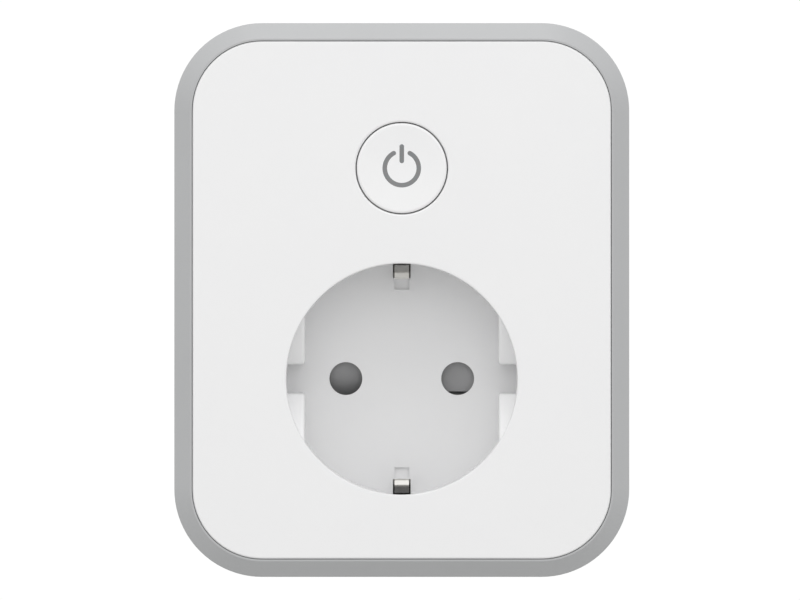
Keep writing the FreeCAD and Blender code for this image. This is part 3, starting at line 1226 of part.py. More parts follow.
def make_transformer():
    """Small mains transformer: ferrite frame and wound bobbin."""
    z, width, half = "transformer_z", "transformer_width", "transformer_core / 2"
    core_back = f"{BOARD_FRONT} + transformer_stand"
    core_front = f"{core_back} + transformer_top"
    leg = "transformer_leg"
    core = new_body("transformer_core")
    add(core, "frame", "front", core_back, core_front, block("0", z, width, "transformer_core"))
    for side in (1, -1):
        inner, outer = f"{side} * {leg}", f"{side} * ({width} / 2 - {leg})"
        low, high = f"{z} - {half} - overcut", f"{z} + {half} + overcut"
        cut(core, "window", "top", low, high,
            box(inner, outer, f"{core_back} + {leg}", f"{core_front} - {leg}"))
    winding = new_body("transformer_winding")
    back, front = f"{core_back} + {leg} + winding_gap", f"{core_front} - {leg} - winding_gap"
    outer_x = f"{width} / 2 - {leg} - winding_gap"
    outer_z = f"{half} + winding_build"
    add(winding, "winding", "front", back, front,
        rounded("0", z, f"2 * ({outer_x})", f"2 * ({outer_z})", "winding_corner"),
        block("0", z, f"2 * ({leg} + winding_gap)", f"2 * ({half} + winding_gap)"))
    add(winding, "bobbin_foot", "front", BOARD_FRONT, f"{BOARD_FRONT} + bobbin_foot",
        block("0", z, width, f"2 * ({outer_z})"))
    for side in (1, -1):
        add(winding, "bobbin_leg", "front", f"{BOARD_FRONT} + bobbin_foot", back,
            box(f"-({outer_x})", outer_x, f"{z} + {side} * ({half} + bobbin_leg_gap)",
                f"{z} + {side} * ({outer_z})"))


def make_capacitors():
    """Two cylinder capacitors and a box-shaped film capacitor."""
    cans = []
    for label, side, radius, length in (("big_can", -1, "big_capacitor", "big_capacitor_length"),
                                        ("small_can", 1, "small_capacitor",
                                         "small_capacitor_length")):
        can = hidden_body(label)
        foot = f"{BOARD_FRONT} + can_stand"
        top = f"{foot} + {length}"
        groove = f"{foot} + crimp_rise"
        turn(can, "can", ("0", foot), (f"{radius} - can_edge", foot),
             (radius, f"{foot} + can_edge"), (radius, f"{groove} - crimp_half"),
             (f"{radius} - crimp_depth", groove), (radius, f"{groove} + crimp_half"),
             (radius, f"{top} - can_edge"), (f"{radius} - can_edge", top), ("0", top))
        for lead in (1, -1):
            lead_x = f"{lead} * {radius} * can_lead_share"
            add(can, "lead", "front", LEAD_END, f"{foot} + lead_grip",
                disc(lead_x, "0", "lead_radius"))
            drill_lead(f"{side} * capacitor_x + {lead_x}", "capacitor_z")
        move_to(can, f"{side} * capacitor_x", "0", "capacitor_z")
        cans.append(can)
    group("smoothing_capacitors", cans)
    film = new_body("film_capacitor")
    back = f"{BOARD_FRONT} + film_stand"
    add(film, "case", "front", back, f"{back} + film_depth",
        rounded("film_x", "film_z", "film_width", "film_height", "film_corner"))
    for side in (1, -1):
        up = f"film_z + {side} * film_height * film_lead_share"
        add(film, "lead", "front", LEAD_END, f"{back} + lead_grip",
            disc("film_x", up, "lead_radius"))
        drill_lead("film_x", up)


def make_surge_parts():
    """Varistor, fuse and choke beside the mains input."""
    varistor = new_body("varistor")
    centre = f"{BOARD_FRONT} + varistor_stand + varistor_radius"
    add(varistor, "disc", "side", "varistor_x - varistor_thick / 2",
        "varistor_x + varistor_thick / 2", disc(centre, "varistor_z", "varistor_radius"))
    rim = amount("varistor_radius")
    round_edges(varistor, "rim", "varistor_rounding",
                lambda middle, edge: edge.Curve.TypeId == "Part::GeomCircle"
                and abs(edge.Curve.Radius - rim) < EDGE_TOLERANCE)
    for side in (1, -1):
        across = f"varistor_x + {side} * varistor_lead_out"
        up = f"varistor_z + {side} * varistor_lead_rise"
        add(varistor, "lead", "front", LEAD_END, centre, disc(across, up, "lead_radius"))
        drill_lead(across, up)
    fuse = new_body("fuse")
    fuse_depth = f"{BOARD_FRONT} + fuse_stand + fuse_radius"
    left, right = "fuse_x - fuse_length / 2", "fuse_x + fuse_length / 2"
    add(fuse, "tube", "side", f"{left} + fuse_tube_sink", f"{right} - fuse_tube_sink",
        disc(fuse_depth, "fuse_z", "fuse_radius - fuse_cap_step"))
    for name, start, end in (("left_cap", left, f"{left} + fuse_cap"),
                             ("right_cap", f"{right} - fuse_cap", right)):
        add(fuse, name, "side", start, end, disc(fuse_depth, "fuse_z", "fuse_radius"))
        add(fuse, f"{name}_lead", "front", LEAD_END, fuse_depth,
            disc(f"({start} + {end}) / 2", "fuse_z", "lead_radius"))
        drill_lead(f"({start} + {end}) / 2", "fuse_z")
    ring = doc.addObject("Part::Torus", "line_choke")
    ring.setExpression("Radius1", bound("choke_ring"))
    ring.setExpression("Radius2", bound("choke_section"))
    ring.Placement = FreeCAD.Placement(Vector(0, 0, 0), FreeCAD.Rotation(Vector(1, 0, 0), 90))
    move_to(ring, "choke_x", f"{BOARD_FRONT} + choke_stand + choke_section", "choke_z")
    listed("line_choke", ring)


def make_chips():
    """Low packages on the main board, one node of separate solids."""
    packages = []
    for label, across, up, width, height, thick in CHIPS:
        package = hidden_body(label)
        add(package, "package", "front", f"{BOARD_FRONT} + chip_stand",
            f"{BOARD_FRONT} + {thick}", block("0", "0", width, height))
        for lead in (-1.5, -0.5, 0.5, 1.5):
            along = f"{lead} * chip_pitch"
            for end in (1, -1):
                if width > height:
                    place = block(along, f"{end} * ({height} / 2 + chip_lead_out)",
                                  "chip_lead_width", "chip_lead_length")
                else:
                    place = block(f"{end} * ({width} / 2 + chip_lead_out)", along,
                                  "chip_lead_length", "chip_lead_width")
                add(package, "lead", "front", BOARD_FRONT, f"{BOARD_FRONT} + chip_lead_thick",
                    place)
        move_to(package, across, "0", f"board_bottom + {up}")
        packages.append(package)
    group("board_chips", packages)


def make_radio():
    """Radio board standing on the main board, with its shield can."""
    board = new_body("radio_board")
    top = "radio_bottom + radio_height"
    front = f"{BOARD_FRONT} + radio_depth"
    add(board, "sheet", "side", "radio_x", "radio_x + radio_thick",
        box(BOARD_FRONT, front, "radio_bottom", top))
    shield = new_body("radio_shield")
    back_edge, front_edge = f"{BOARD_FRONT} + shield_back_room", f"{front} - shield_front_room"
    low, high = "radio_bottom + shield_side_room", f"{top} - shield_side_room"
    start, end = "radio_x + radio_thick", "radio_x + radio_thick + shield_thick"
    add(shield, "can", "side", start, end, box(back_edge, front_edge, low, high))
    cut(shield, "room", "side", start, f"{end} - shield_sheet",
        box(f"{back_edge} + shield_sheet", f"{front_edge} - shield_sheet",
            f"{low} + shield_sheet", f"{high} - shield_sheet"))


def make_board_link():
    """Pin header that carries the control board's signals down to the main board."""
    strip = new_body("header_strip")
    pins = new_body("header_pins")
    row_z = "button_height + control_height / 2 - header_inset"
    hole = "header_pin + 2 * header_pin_gap"
    strip_back = f"{CONTROL_BACK} - header_thick"
    add(strip, "strip", "front", strip_back, CONTROL_BACK,
        block("0", row_z, f"{HEADER_PINS} * header_pitch", "header_height"))
    for place in range(HEADER_PINS):
        across = f"{place - (HEADER_PINS - 1) / 2} * header_pitch"
        cut(strip, "pin_hole", "front", strip_back, CONTROL_BACK, block(across, row_z, hole, hole))
        add(pins, "pin", "front", f"{CONTROL_BACK} - header_pin_below",
            "control_front + header_pin_above", block(across, row_z, "header_pin", "header_pin"))
        cut(nodes["control_board"], "pin_hole", "front", CONTROL_BACK, "control_front",
            block(across, row_z, hole, hole))


# ---------------------------------------------------------------- build and write
make_front_cover()
make_trim_frame()
make_rear_cover()
make_screws("housing_screws", "housing_screw", "screw_seat", "screw_side",
            (SCREW_LOW, SCREW_HIGH),
            ("screw_radius", "screw_head", "screw_head_thick", "screw_length", False))
make_button()
make_contact_carrier()
for side_name, side in (("live", 1), ("neutral", -1)):
    make_contact(f"{side_name}_contact", side)
    make_load_bar(f"{side_name}_load_bar", side)
    make_input_bar(f"{side_name}_input_bar", side)
    make_pin(f"{side_name}_pin", side)
make_shutter()
make_shutter_spring()
for end_name, sign in (("top", 1), ("bottom", -1)):
    make_earth_clip(f"earth_clip_{end_name}", sign)
    make_plug_earth(f"plug_earth_{end_name}", sign)
make_earth_bridge()
make_main_board()
make_relay()
make_transformer()
make_capacitors()
make_surge_parts()
make_chips()
make_radio()
make_board_link()
doc.recompute()

for item in doc.Objects:
    if "Invalid" in item.State or "Error" in item.State:
        raise RuntimeError(f"{item.Label}: {item.State}")
for label, item in nodes.items():
    if item.Shape.isNull() or not item.Shape.isValid() or not item.Shape.Solids:
        raise RuntimeError(f"{label}: no valid solid")

os.makedirs("parts", exist_ok=True)
for label, item in nodes.items():
    item.Shape.exportStep(f"parts/{label}.step")
print(f"{len(nodes)} pieces written")
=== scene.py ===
"""Looks of a smart plug with one earthed outlet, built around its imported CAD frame.

Everything is in metres in the frame's own axes: X right, Y back into the wall, Z up. The
finishes dress the CAD pieces by their material slots. The sub-assemblies shape the outlet's
ribs, the earth clips and the shutter more finely, and add windings and solder joints.
"""

import json
import logging
import math
from dataclasses import dataclass
from enum import Enum
from typing import ClassVar

import bmesh
import bpy
from mathutils import Matrix, Vector


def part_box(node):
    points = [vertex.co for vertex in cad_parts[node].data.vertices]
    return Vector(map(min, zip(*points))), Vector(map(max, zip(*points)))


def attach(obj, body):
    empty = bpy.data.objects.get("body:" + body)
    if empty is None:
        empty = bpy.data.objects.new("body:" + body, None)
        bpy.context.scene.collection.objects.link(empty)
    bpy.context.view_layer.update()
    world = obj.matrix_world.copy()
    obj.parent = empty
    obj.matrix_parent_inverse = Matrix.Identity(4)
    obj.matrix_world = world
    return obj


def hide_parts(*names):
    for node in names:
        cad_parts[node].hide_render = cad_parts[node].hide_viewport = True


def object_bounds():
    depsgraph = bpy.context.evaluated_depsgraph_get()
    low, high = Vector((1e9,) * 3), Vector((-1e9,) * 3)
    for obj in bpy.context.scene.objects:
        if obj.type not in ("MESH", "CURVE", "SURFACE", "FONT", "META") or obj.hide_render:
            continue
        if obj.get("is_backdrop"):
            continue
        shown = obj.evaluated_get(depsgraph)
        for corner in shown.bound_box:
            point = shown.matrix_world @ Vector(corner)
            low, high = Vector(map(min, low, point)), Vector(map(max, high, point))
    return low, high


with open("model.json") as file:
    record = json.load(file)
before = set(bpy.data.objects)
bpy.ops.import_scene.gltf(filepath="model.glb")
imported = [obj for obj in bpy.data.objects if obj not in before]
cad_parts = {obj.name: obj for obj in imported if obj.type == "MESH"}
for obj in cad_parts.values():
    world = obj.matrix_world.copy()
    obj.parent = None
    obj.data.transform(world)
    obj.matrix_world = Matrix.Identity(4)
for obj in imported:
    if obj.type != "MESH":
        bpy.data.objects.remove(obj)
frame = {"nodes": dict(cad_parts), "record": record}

LOG = logging.getLogger("smart_plug")
MM = 0.001
Socket = bpy.types.NodeSocket
Material = bpy.types.Material
MERGE_WITHIN = 0.002 * MM  # corners closer than this are one corner
NOISE_LOW, NOISE_HIGH = 0.3, 0.7  # nearly all values of a noise texture lie between these
PATCH_DETAIL, WORN_DETAIL, GRAIN_DETAIL, LINE_DETAIL = 3.0, 4.0, 2.0, 3.0
WAVES_PER_SCALE = 20.0  # Wave textures multiply their scale by this
CAN_AT_LEAST = 3 * MM  # what is narrower in a capacitor is a lead
SLEEVE_LIP = 0.45 * MM  # front edge of a sleeve behind the end of its can
FUSE_CAP = 2.2 * MM  # length of a cap of the fuse


# ------------------------------------------------------------------ colours and node trees
def linear(hex_colour: str) -> tuple[float, float, float, float]:
    """Turn an sRGB colour into linear light.

    Args:
        hex_colour: the colour as "#rrggbb".

    Returns:
        Red, green, blue and alpha as Blender takes them.
    """
    parts = [int(hex_colour[place:place + 2], 16) / 255 for place in (1, 3, 5)]
    red, green, blue = (part / 12.92 if part <= 0.04045 else ((part + 0.055) / 1.055) ** 2.4
                        for part in parts)
    return red, green, blue, 1.0


def per_metre(millimetres: float) -> float:
    """Return the texture scale whose pattern repeats about every so many millimetres."""
    return 1.0 / (millimetres * MM)


def feed(tree: bpy.types.NodeTree, node: bpy.types.Node, inputs: dict) -> None:
    """Set or link inputs of a node.

    Args:
        tree: the tree that holds the node.
        node: the node.
        inputs: socket name or number to a value, or to the output that feeds it.
    """
    for key, value in inputs.items():
        if isinstance(value, Socket):
            tree.links.new(value, node.inputs[key])
        else:
            node.inputs[key].default_value = value


def add_node(tree: bpy.types.NodeTree, kind: str, inputs: dict | None = None,
             **settings: object) -> bpy.types.Node:
    """Add a node with its settings, and set or link its inputs.

    Args:
        tree: the tree that gets the node.
        kind: Blender's name for the kind of node.
        inputs: socket name or number to a value, or to the output that feeds it.
        settings: properties of the node, set before its inputs.

    Returns:
        The new node.
    """
    node = tree.nodes.new(kind)
    for key, value in settings.items():
        setattr(node, key, value)
    feed(tree, node, inputs or {})
    return node


class Along(Enum):
    """Direction in which a surface was rolled, drawn or wound."""

    X = (0.06, 1.0, 1.0)
    Y = (1.0, 0.06, 1.0)
    Z = (1.0, 1.0, 0.06)


class Skin(Enum):
    """How a mould's steel was finished: the size and depth of its grain, in millimetres."""

    SATIN = (0.30, 0.0030)
    ERODED = (0.35, 0.0075)
    COARSE = (0.55, 0.0200)


@dataclass
class Surface:
    """A material while it is being made.

    Attributes:
        material: the material.
        tree: its nodes.
        shader: its shader.
        place: object coordinates of the surface.
    """

    material: Material
    tree: bpy.types.NodeTree
    shader: bpy.types.Node
    place: Socket

    @classmethod
    def named(cls, name: str, rough: float) -> "Surface":
        """Start a material with its shader.

        Args:
            name: name of the material.
            rough: its roughness, unless something is linked to it.

        Returns:
            The material, ready for its colour and relief.
        """
        material = bpy.data.materials.new(name)
        material.use_nodes = True
        tree = material.node_tree
        tree.nodes.clear()
        shader = add_node(tree, "ShaderNodeBsdfPrincipled", {"Roughness": rough})
        add_node(tree, "ShaderNodeOutputMaterial", {"Surface": shader.outputs["BSDF"]})
        place = add_node(tree, "ShaderNodeTexCoord").outputs["Object"]
        return cls(material, tree, shader, place)

    def add(self, kind: str, inputs: dict | None = None, **settings: object) -> bpy.types.Node:
        """Add a node to the material; see add_node."""
        return add_node(self.tree, kind, inputs, **settings)

    def shade(self, inputs: dict) -> None:
        """Set or link inputs of the shader; see feed."""
        feed(self.tree, self.shader, inputs)

    def calculate(self, operation: str, *values: object) -> Socket:
        """Return what a Math node makes of its values."""
        return self.add("ShaderNodeMath", dict(enumerate(values)), operation=operation).outputs[0]

    def mix(self, factor: Socket, first: object,
            second: object) -> Socket:
        """Mix two colours, each given as "#rrggbb" or as the output that makes it.

        Args:
            factor: share of the second colour.
            first: the first colour.
            second: the second colour.

        Returns:
            The mixed colour.
        """
        low, high = (linear(colour) if isinstance(colour, str) else colour
                     for colour in (first, second))
        return self.add("ShaderNodeMix", {"Factor": factor, 6: low, 7: high},
                        data_type="RGBA").outputs[2]

    def noise(self, place: Socket, millimetres: float,
              detail: float) -> Socket:
        """Make soft noise.

        Args:
            place: coordinates that it follows.
            millimetres: size of its patches.
            detail: number of finer layers in it.

        Returns:
            The noise.
        """
        return self.add("ShaderNodeTexNoise", {"Vector": place, "Scale": per_metre(millimetres),
                                               "Detail": detail}).outputs["Fac"]

    def spread(self, noise: Socket, low: float,
               high: float) -> Socket:
        """Spread noise over a range.

        Args:
            noise: the noise.
            low: lowest value wanted.
            high: highest value wanted.

        Returns:
            The spread values.
        """
        return self.add("ShaderNodeMapRange",
                        {"Value": noise, "From Min": NOISE_LOW, "From Max": NOISE_HIGH,
                         "To Min": low, "To Max": high}).outputs["Result"]

    def relief(self, height: Socket, depth_mm: float,
               strength: float = 1.0) -> None:
        """Let the surface stand out.

        Args:
            height: how high it stands, from 0 to 1.
            depth_mm: height of 1, in millimetres.
            strength: share of the relief that shows.
        """
        bump = self.add("ShaderNodeBump", {"Height": height, "Distance": depth_mm * MM,
                                           "Strength": strength})
        self.shade({"Normal": bump.outputs["Normal"]})


@dataclass(frozen=True)
class Finish:
    """A material named for what it is and how its surface was made.

    Attributes:
        name: name of the material.
        colour: its colour.
        drift: colour that it drifts to in soft patches.
        rough: its roughness.
        patch_mm: size of a patch of colour.
        worn_mm: size of a patch of roughness.
        worn_by: how far the roughness wanders each way.
    """

    patch_mm: ClassVar[float] = 3.0
    worn_mm: ClassVar[float] = 1.0
    worn_by: ClassVar[float] = 0.03

    name: str
    colour: str
    drift: str
    rough: float

    def patches(self, surface: Surface) -> Socket:
        """Return the colour, mixed with its drift in soft patches."""
        cloud = surface.noise(surface.place, self.patch_mm, PATCH_DETAIL)
        return surface.mix(cloud, self.colour, self.drift)

    def worn_roughness(self, surface: Surface) -> Socket:
        """Return a roughness that wanders around its middle value."""
        cloud = surface.noise(surface.place, self.worn_mm, WORN_DETAIL)
        return surface.spread(cloud, self.rough - self.worn_by, self.rough + self.worn_by)

    def dress(self, surface: Surface) -> None:
        """Give the surface its colour, gloss and relief."""
        raise NotImplementedError

    def build(self) -> Material:
        """Return the finished material."""
        surface = Surface.named(self.name, self.rough)
        self.dress(surface)
        return surface.material


@dataclass(frozen=True)
class MouldedPlastic(Finish):
    """Injection-moulded plastic, which shows the grain of its mould under a soft sheen.

    Attributes:
        skin: how the mould was finished.
        ior: index of refraction, 1.53 for ABS.
        glow: share of light that passes into the plastic, as in milky light guides.
    """

    patch_mm: ClassVar[float] = 14.0
    worn_mm: ClassVar[float] = 5.0

    skin: Skin = Skin.SATIN
    ior: float = 1.53
    glow: float = 0.0

    def dress(self, surface: Surface) -> None:
        """Add a faint grain, and patches where the melt cooled unevenly."""
        grain, depth = self.skin.value
        surface.shade({"IOR": self.ior, "Base Color": self.patches(surface),
                       "Roughness": self.worn_roughness(surface)})
        surface.relief(surface.noise(surface.place, grain, GRAIN_DETAIL), depth,
                       strength=0.5)
        if self.glow:
            surface.shade({"Subsurface Weight": self.glow, "Subsurface Scale": 0.4 * MM})


@dataclass(frozen=True)
class WorkedMetal(Finish):
    """Metal with the marks of its making: fine lines along the way it was rolled or turned.

    Attributes:
        along: direction of the lines.
        line_mm: distance between lines.
        depth_mm: depth of the lines.
    """

    along: Along = Along.Y
    line_mm: float = 0.12
    depth_mm: float = 0.002

    def dress(self, surface: Surface) -> None:
        """Add drawn lines in height and in roughness, and slight stains."""
        drawn = surface.add("ShaderNodeMapping",
                            {"Vector": surface.place, "Scale": self.along.value})
        lines = surface.noise(drawn.outputs["Vector"], self.line_mm, LINE_DETAIL)
        sheen = surface.spread(lines, low=self.rough * 0.8, high=self.rough * 1.25)
        surface.shade({"Metallic": 1.0, "Base Color": self.patches(surface), "Roughness": sheen})
        surface.relief(lines, self.depth_mm, strength=0.6)


@dataclass(frozen=True)
class RubbedStripPaintedReflection(WorkedMetal):
    """Plated strip that plugs rub at its bend, with painted dark reflection in its colour away from
    the bend.

    Attributes:
        upper_painted_reflection: painted dark reflection, the colour away from the bend on the
            upper clip.
        lower_painted_reflection: that painted reflection on the lower clip, nearly black.
        bend_fade_from: distance to the plug axis where the bend's colour and roughness begin to
            fade into the painted reflection, in metres.
        bend_fade_to: distance to the plug axis where that fade ends, in metres.
        bright: roughness of the rubbed part.
    """

    # painted reflection: dark surroundings that the clips mirror, painted into their colour away
    # from the bend
    upper_painted_reflection: str = "#93928f"
    lower_painted_reflection: str = "#3d3c3a"
    bend_fade_from: float = 17.7 * MM
    bend_fade_to: float = 18.4 * MM
    bright: float = 0.38

    def dress(self, surface: Surface) -> None:
        """Add rolled strip, with roughness fading from the bend and painted dark reflection in the
        colour away from it.
        """
        super().dress(surface)
        rolled, lines = (surface.shader.inputs[key].links[0].from_socket
                         for key in ("Base Color", "Roughness"))
        up = surface.add("ShaderNodeSeparateXYZ", {"Vector": surface.place}).outputs["Z"]
        # mask of the bend's edge: it fades the roughness and also brings in the painted dark
        # reflection
        wear_and_painted_reflection = surface.add("ShaderNodeMapRange",
                           {"Value": surface.calculate("ABSOLUTE", up),
                            "From Min": self.bend_fade_from, "From Max": self.bend_fade_to},
                           interpolation_type="SMOOTHSTEP").outputs[0]
        upper = surface.calculate("GREATER_THAN", up, 0.0)
        # painted reflection: the colour away from the bend, mid grey on the upper clip and near
        # black on the lower one
        painted_dark_reflection = surface.mix(upper, self.lower_painted_reflection, self.upper_painted_reflection)
        sheen = surface.add("ShaderNodeMix", {"Factor": wear_and_painted_reflection, 2: self.bright, 3: lines},
                            data_type="FLOAT")
        # the bend keeps the metal's own colour; elsewhere the colour is painted dark reflection
        surface.shade({"Base Color": surface.mix(wear_and_painted_reflection, rolled, painted_dark_reflection),
                       "Roughness": sheen.outputs[0]})


@dataclass(frozen=True)
class SolderMask(Finish):
    """Glass laminate under solder mask, with copper tracks that stand out as paler lines.

    Attributes:
        track: colour of the mask over a track.
        pitch_mm: distance between tracks.
    """

    patch_mm: ClassVar[float] = 6.0

    track: str = "#2f7d4a"
    pitch_mm: float = 2.54

    def dress(self, surface: Surface) -> None:
        """Add tracks 0.4 mm wide in colour and relief, under a glossy mask."""
        flat = surface.add("ShaderNodeMapping",
                           {"Vector": surface.place, "Rotation": (math.pi / 2, 0.0, 0.0)})
        tracks = surface.add("ShaderNodeTexBrick",
                             {"Vector": flat.outputs["Vector"], "Color1": (0, 0, 0, 1),
                              "Color2": (0, 0, 0, 1), "Mortar": (1, 1, 1, 1), "Scale": 1.0,
                              "Mortar Size": 0.2 * MM, "Mortar Smooth": 0.1,
                              "Brick Width": 3.0 * self.pitch_mm * MM,
                              "Row Height": self.pitch_mm * MM},
                             offset=0.37, squash=1.6).outputs["Color"]
        surface.shade({"IOR": 1.5, "Coat Weight": 0.4,
                       "Base Color": surface.mix(tracks, self.patches(surface), self.track)})
        surface.relief(tracks, depth_mm=0.035)


@dataclass(frozen=True)
class Wound(Finish):
    """Wire or tape laid turn beside turn, which catches light on each turn.

    Attributes:
        metallic: 1 for bare-looking enamelled copper, 0 for tape.
        turn_mm: distance between turns.
        depth_mm: height of a turn.
        across: axis along which the turns are stacked, as Wave textures name it.
    """

    patch_mm: ClassVar[float] = 2.0
    worn_by: ClassVar[float] = 0.05

    metallic: float = 1.0
    turn_mm: float = 0.3
    depth_mm: float = 0.1
    across: str = "Y"

    def dress(self, surface: Surface) -> None:
        """Add rounded turns under a clear coat."""
        turns = surface.add("ShaderNodeTexWave",
                            {"Vector": surface.place,
                             "Scale": per_metre(self.turn_mm) / WAVES_PER_SCALE,
                             "Distortion": 0.3, "Detail": 1.0}, bands_direction=self.across)
        surface.shade({"Metallic": self.metallic, "Coat Weight": 0.5,
                       "Coat Roughness": 0.15, "Base Color": self.patches(surface),
                       "Roughness": self.worn_roughness(surface)})
        surface.relief(turns.outputs["Fac"], self.depth_mm, strength=0.7)


@dataclass(frozen=True)
class Sintered(Finish):
    """Pressed and sintered ferrite: dull, dark, with a sandy speckle."""

    patch_mm: ClassVar[float] = 0.4
    worn_mm: ClassVar[float] = 0.6
    worn_by: ClassVar[float] = 0.08

    def dress(self, surface: Surface) -> None:
        """Add a 0.4 mm speckle in colour, and pits 0.5 mm apart."""
        surface.shade({"Base Color": self.patches(surface),
                       "Roughness": self.worn_roughness(surface)})
        pits = surface.add("ShaderNodeTexVoronoi",
                           {"Vector": surface.place, "Scale": per_metre(0.5)})
        surface.relief(pits.outputs["Distance"], depth_mm=0.01)


@dataclass(frozen=True)
class ShrinkSleeve(Finish):
    """Shrink sleeve around an aluminium can, whose bare end shows in front.

    Attributes:
        ends: depth coordinates (Y, metres) in front of which the bare end shows.
        middles: X coordinates of the cans, where each carries its pale polarity stripe.
        metal: colour of the bare end.
        stripe: colour of the stripe.
        stripe_half: half the width of a stripe, in metres.
        can_half: half the width of a bare end, in metres.
    """

    patch_mm: ClassVar[float] = 4.0
    worn_mm: ClassVar[float] = 1.5
    worn_by: ClassVar[float] = 0.04
    stripe_half: ClassVar[float] = 0.9 * MM
    can_half: ClassVar[float] = 4.2 * MM

    ends: tuple[float, ...] = ()
    middles: tuple[float, ...] = ()
    metal: str = "#c9cbcc"
    stripe: str = "#b9bec6"

    def dress(self, surface: Surface) -> None:
        """Add a glossy sleeve, a pale stripe and a bare metal end."""
        axes = surface.add("ShaderNodeSeparateXYZ", {"Vector": surface.place}).outputs
        colour = self.patches(surface)
        bare = None
        for end, middle in zip(self.ends, self.middles):
            stripe = surface.calculate("COMPARE", axes["X"], middle, self.stripe_half)
            colour = surface.mix(stripe, colour, self.stripe)
            near = surface.calculate("COMPARE", axes["X"], middle, self.can_half)
            front = surface.calculate("LESS_THAN", axes["Y"], end)
            both = surface.calculate("MULTIPLY", near, front)
            bare = both if bare is None else surface.calculate("MAXIMUM", bare, both)
        if bare is not None:
            colour = surface.mix(bare, colour, self.metal)
            surface.shade({"Metallic": bare})
        surface.shade({"Coat Weight": 0.3, "Base Color": colour,
                       "Roughness": self.worn_roughness(surface)})


@dataclass(frozen=True)
class CappedGlass(Finish):
    """Glass tube with pressed nickel caps at both ends.

    Attributes:
        middle: X coordinate of the tube's middle, in metres.
        bare: half the length of tube between the caps, in metres.
        cap: colour of the caps.
        clear: share of light that the glass lets through.
    """

    clear: ClassVar[float] = 0.85

    middle: float = 0.0
    bare: float = 0.003
    cap: str = "#c4c2bd"

    def dress(self, surface: Surface) -> None:
        """Make it clear in the middle and metal on the caps."""
        across = surface.add("ShaderNodeSeparateXYZ", {"Vector": surface.place}).outputs["X"]
        tube = surface.calculate("COMPARE", across, self.middle, self.bare)
        metal = surface.calculate("SUBTRACT", 1.0, tube)
        surface.shade({"IOR": 1.5, "Metallic": metal,
                       "Base Color": surface.mix(metal, self.colour, self.cap),
                       "Transmission Weight": surface.calculate("MULTIPLY", tube, self.clear),
                       "Roughness": self.worn_roughness(surface)})


# ------------------------------------------------------------------ mesh helpers
def placed(name: str, data: bpy.types.ID) -> bpy.types.Object:
    """Put new data into the scene.

    Args:
        name: name of the object.
        data: its mesh, lamp or camera.

    Returns:
        The object.
    """
    thing = bpy.data.objects.new(name, data)
    bpy.context.scene.collection.objects.link(thing)
    return thing


def evaluated(thing: bpy.types.Object) -> bpy.types.Mesh:
    """Return a plain mesh of an object as its modifiers make it."""
    view = bpy.context.evaluated_depsgraph_get()
    return bpy.data.meshes.new_from_object(thing.evaluated_get(view),
                                           preserve_all_data_layers=True, depsgraph=view)


def coat(mesh: bpy.types.Mesh, material: Material) -> None:
    """Make a material the only one of a mesh."""
    mesh.materials.clear()
    mesh.materials.append(material)


def merged_copy(node: str, name: str) -> bpy.types.Object:
    """Copy a CAD node's mesh and merge its loose triangles.

    Args:
        node: name of the CAD node.
        name: name of the copy.

    Returns:
        The copy, linked to the scene, with its place in its mesh.
    """
    mesh = frame["nodes"][node].data.copy()
    piece = placed(name, mesh)
    shape = bmesh.new()
    shape.from_mesh(mesh)
    bmesh.ops.remove_doubles(shape, verts=shape.verts, dist=MERGE_WITHIN)
    shape.to_mesh(mesh)
    shape.free()
    if mesh.attributes.get("custom_normal"):
        mesh.attributes.remove(mesh.attributes["custom_normal"])
    return piece


def smooth(piece: bpy.types.Object, degrees: float = 30.0) -> None:
    """Shade a piece smooth but for sharp edges, with large flat faces kept flat.

    Args:
        piece: the piece.
        degrees: edges sharper than this stay sharp.
    """
    piece.data.shade_smooth()
    piece.data.set_sharp_from_angle(angle=math.radians(degrees))
    weights = piece.modifiers.new("flat_faces", "WEIGHTED_NORMAL")
    weights.keep_sharp = True
    weights.weight = 100
    mesh = evaluated(piece)
    piece.modifiers.clear()
    piece.data = mesh


def islands(node: str) -> list[tuple[Vector, Vector]]:
    """Find the separate solids of a CAD node.

    Args:
        node: name of the CAD node.

    Returns:
        The lowest and highest corner of each solid, from left to right.
    """
    shape = bmesh.new()
    shape.from_mesh(frame["nodes"][node].data)
    bmesh.ops.remove_doubles(shape, verts=shape.verts, dist=MERGE_WITHIN)
    boxes = []
    left = set(shape.verts)
    while left:
        found, edge = set(), [left.pop()]
        while edge:
            vert = edge.pop()
            found.add(vert)
            for link in vert.link_edges:
                other = link.other_vert(vert)
                if other in left:
                    left.discard(other)
                    edge.append(other)
        corners = [vert.co for vert in found]
        boxes.append((Vector(min(c[i] for c in corners) for i in range(3)),
                      Vector(max(c[i] for c in corners) for i in range(3))))
    shape.free()
    return sorted(boxes, key=lambda pair: pair[0].x)


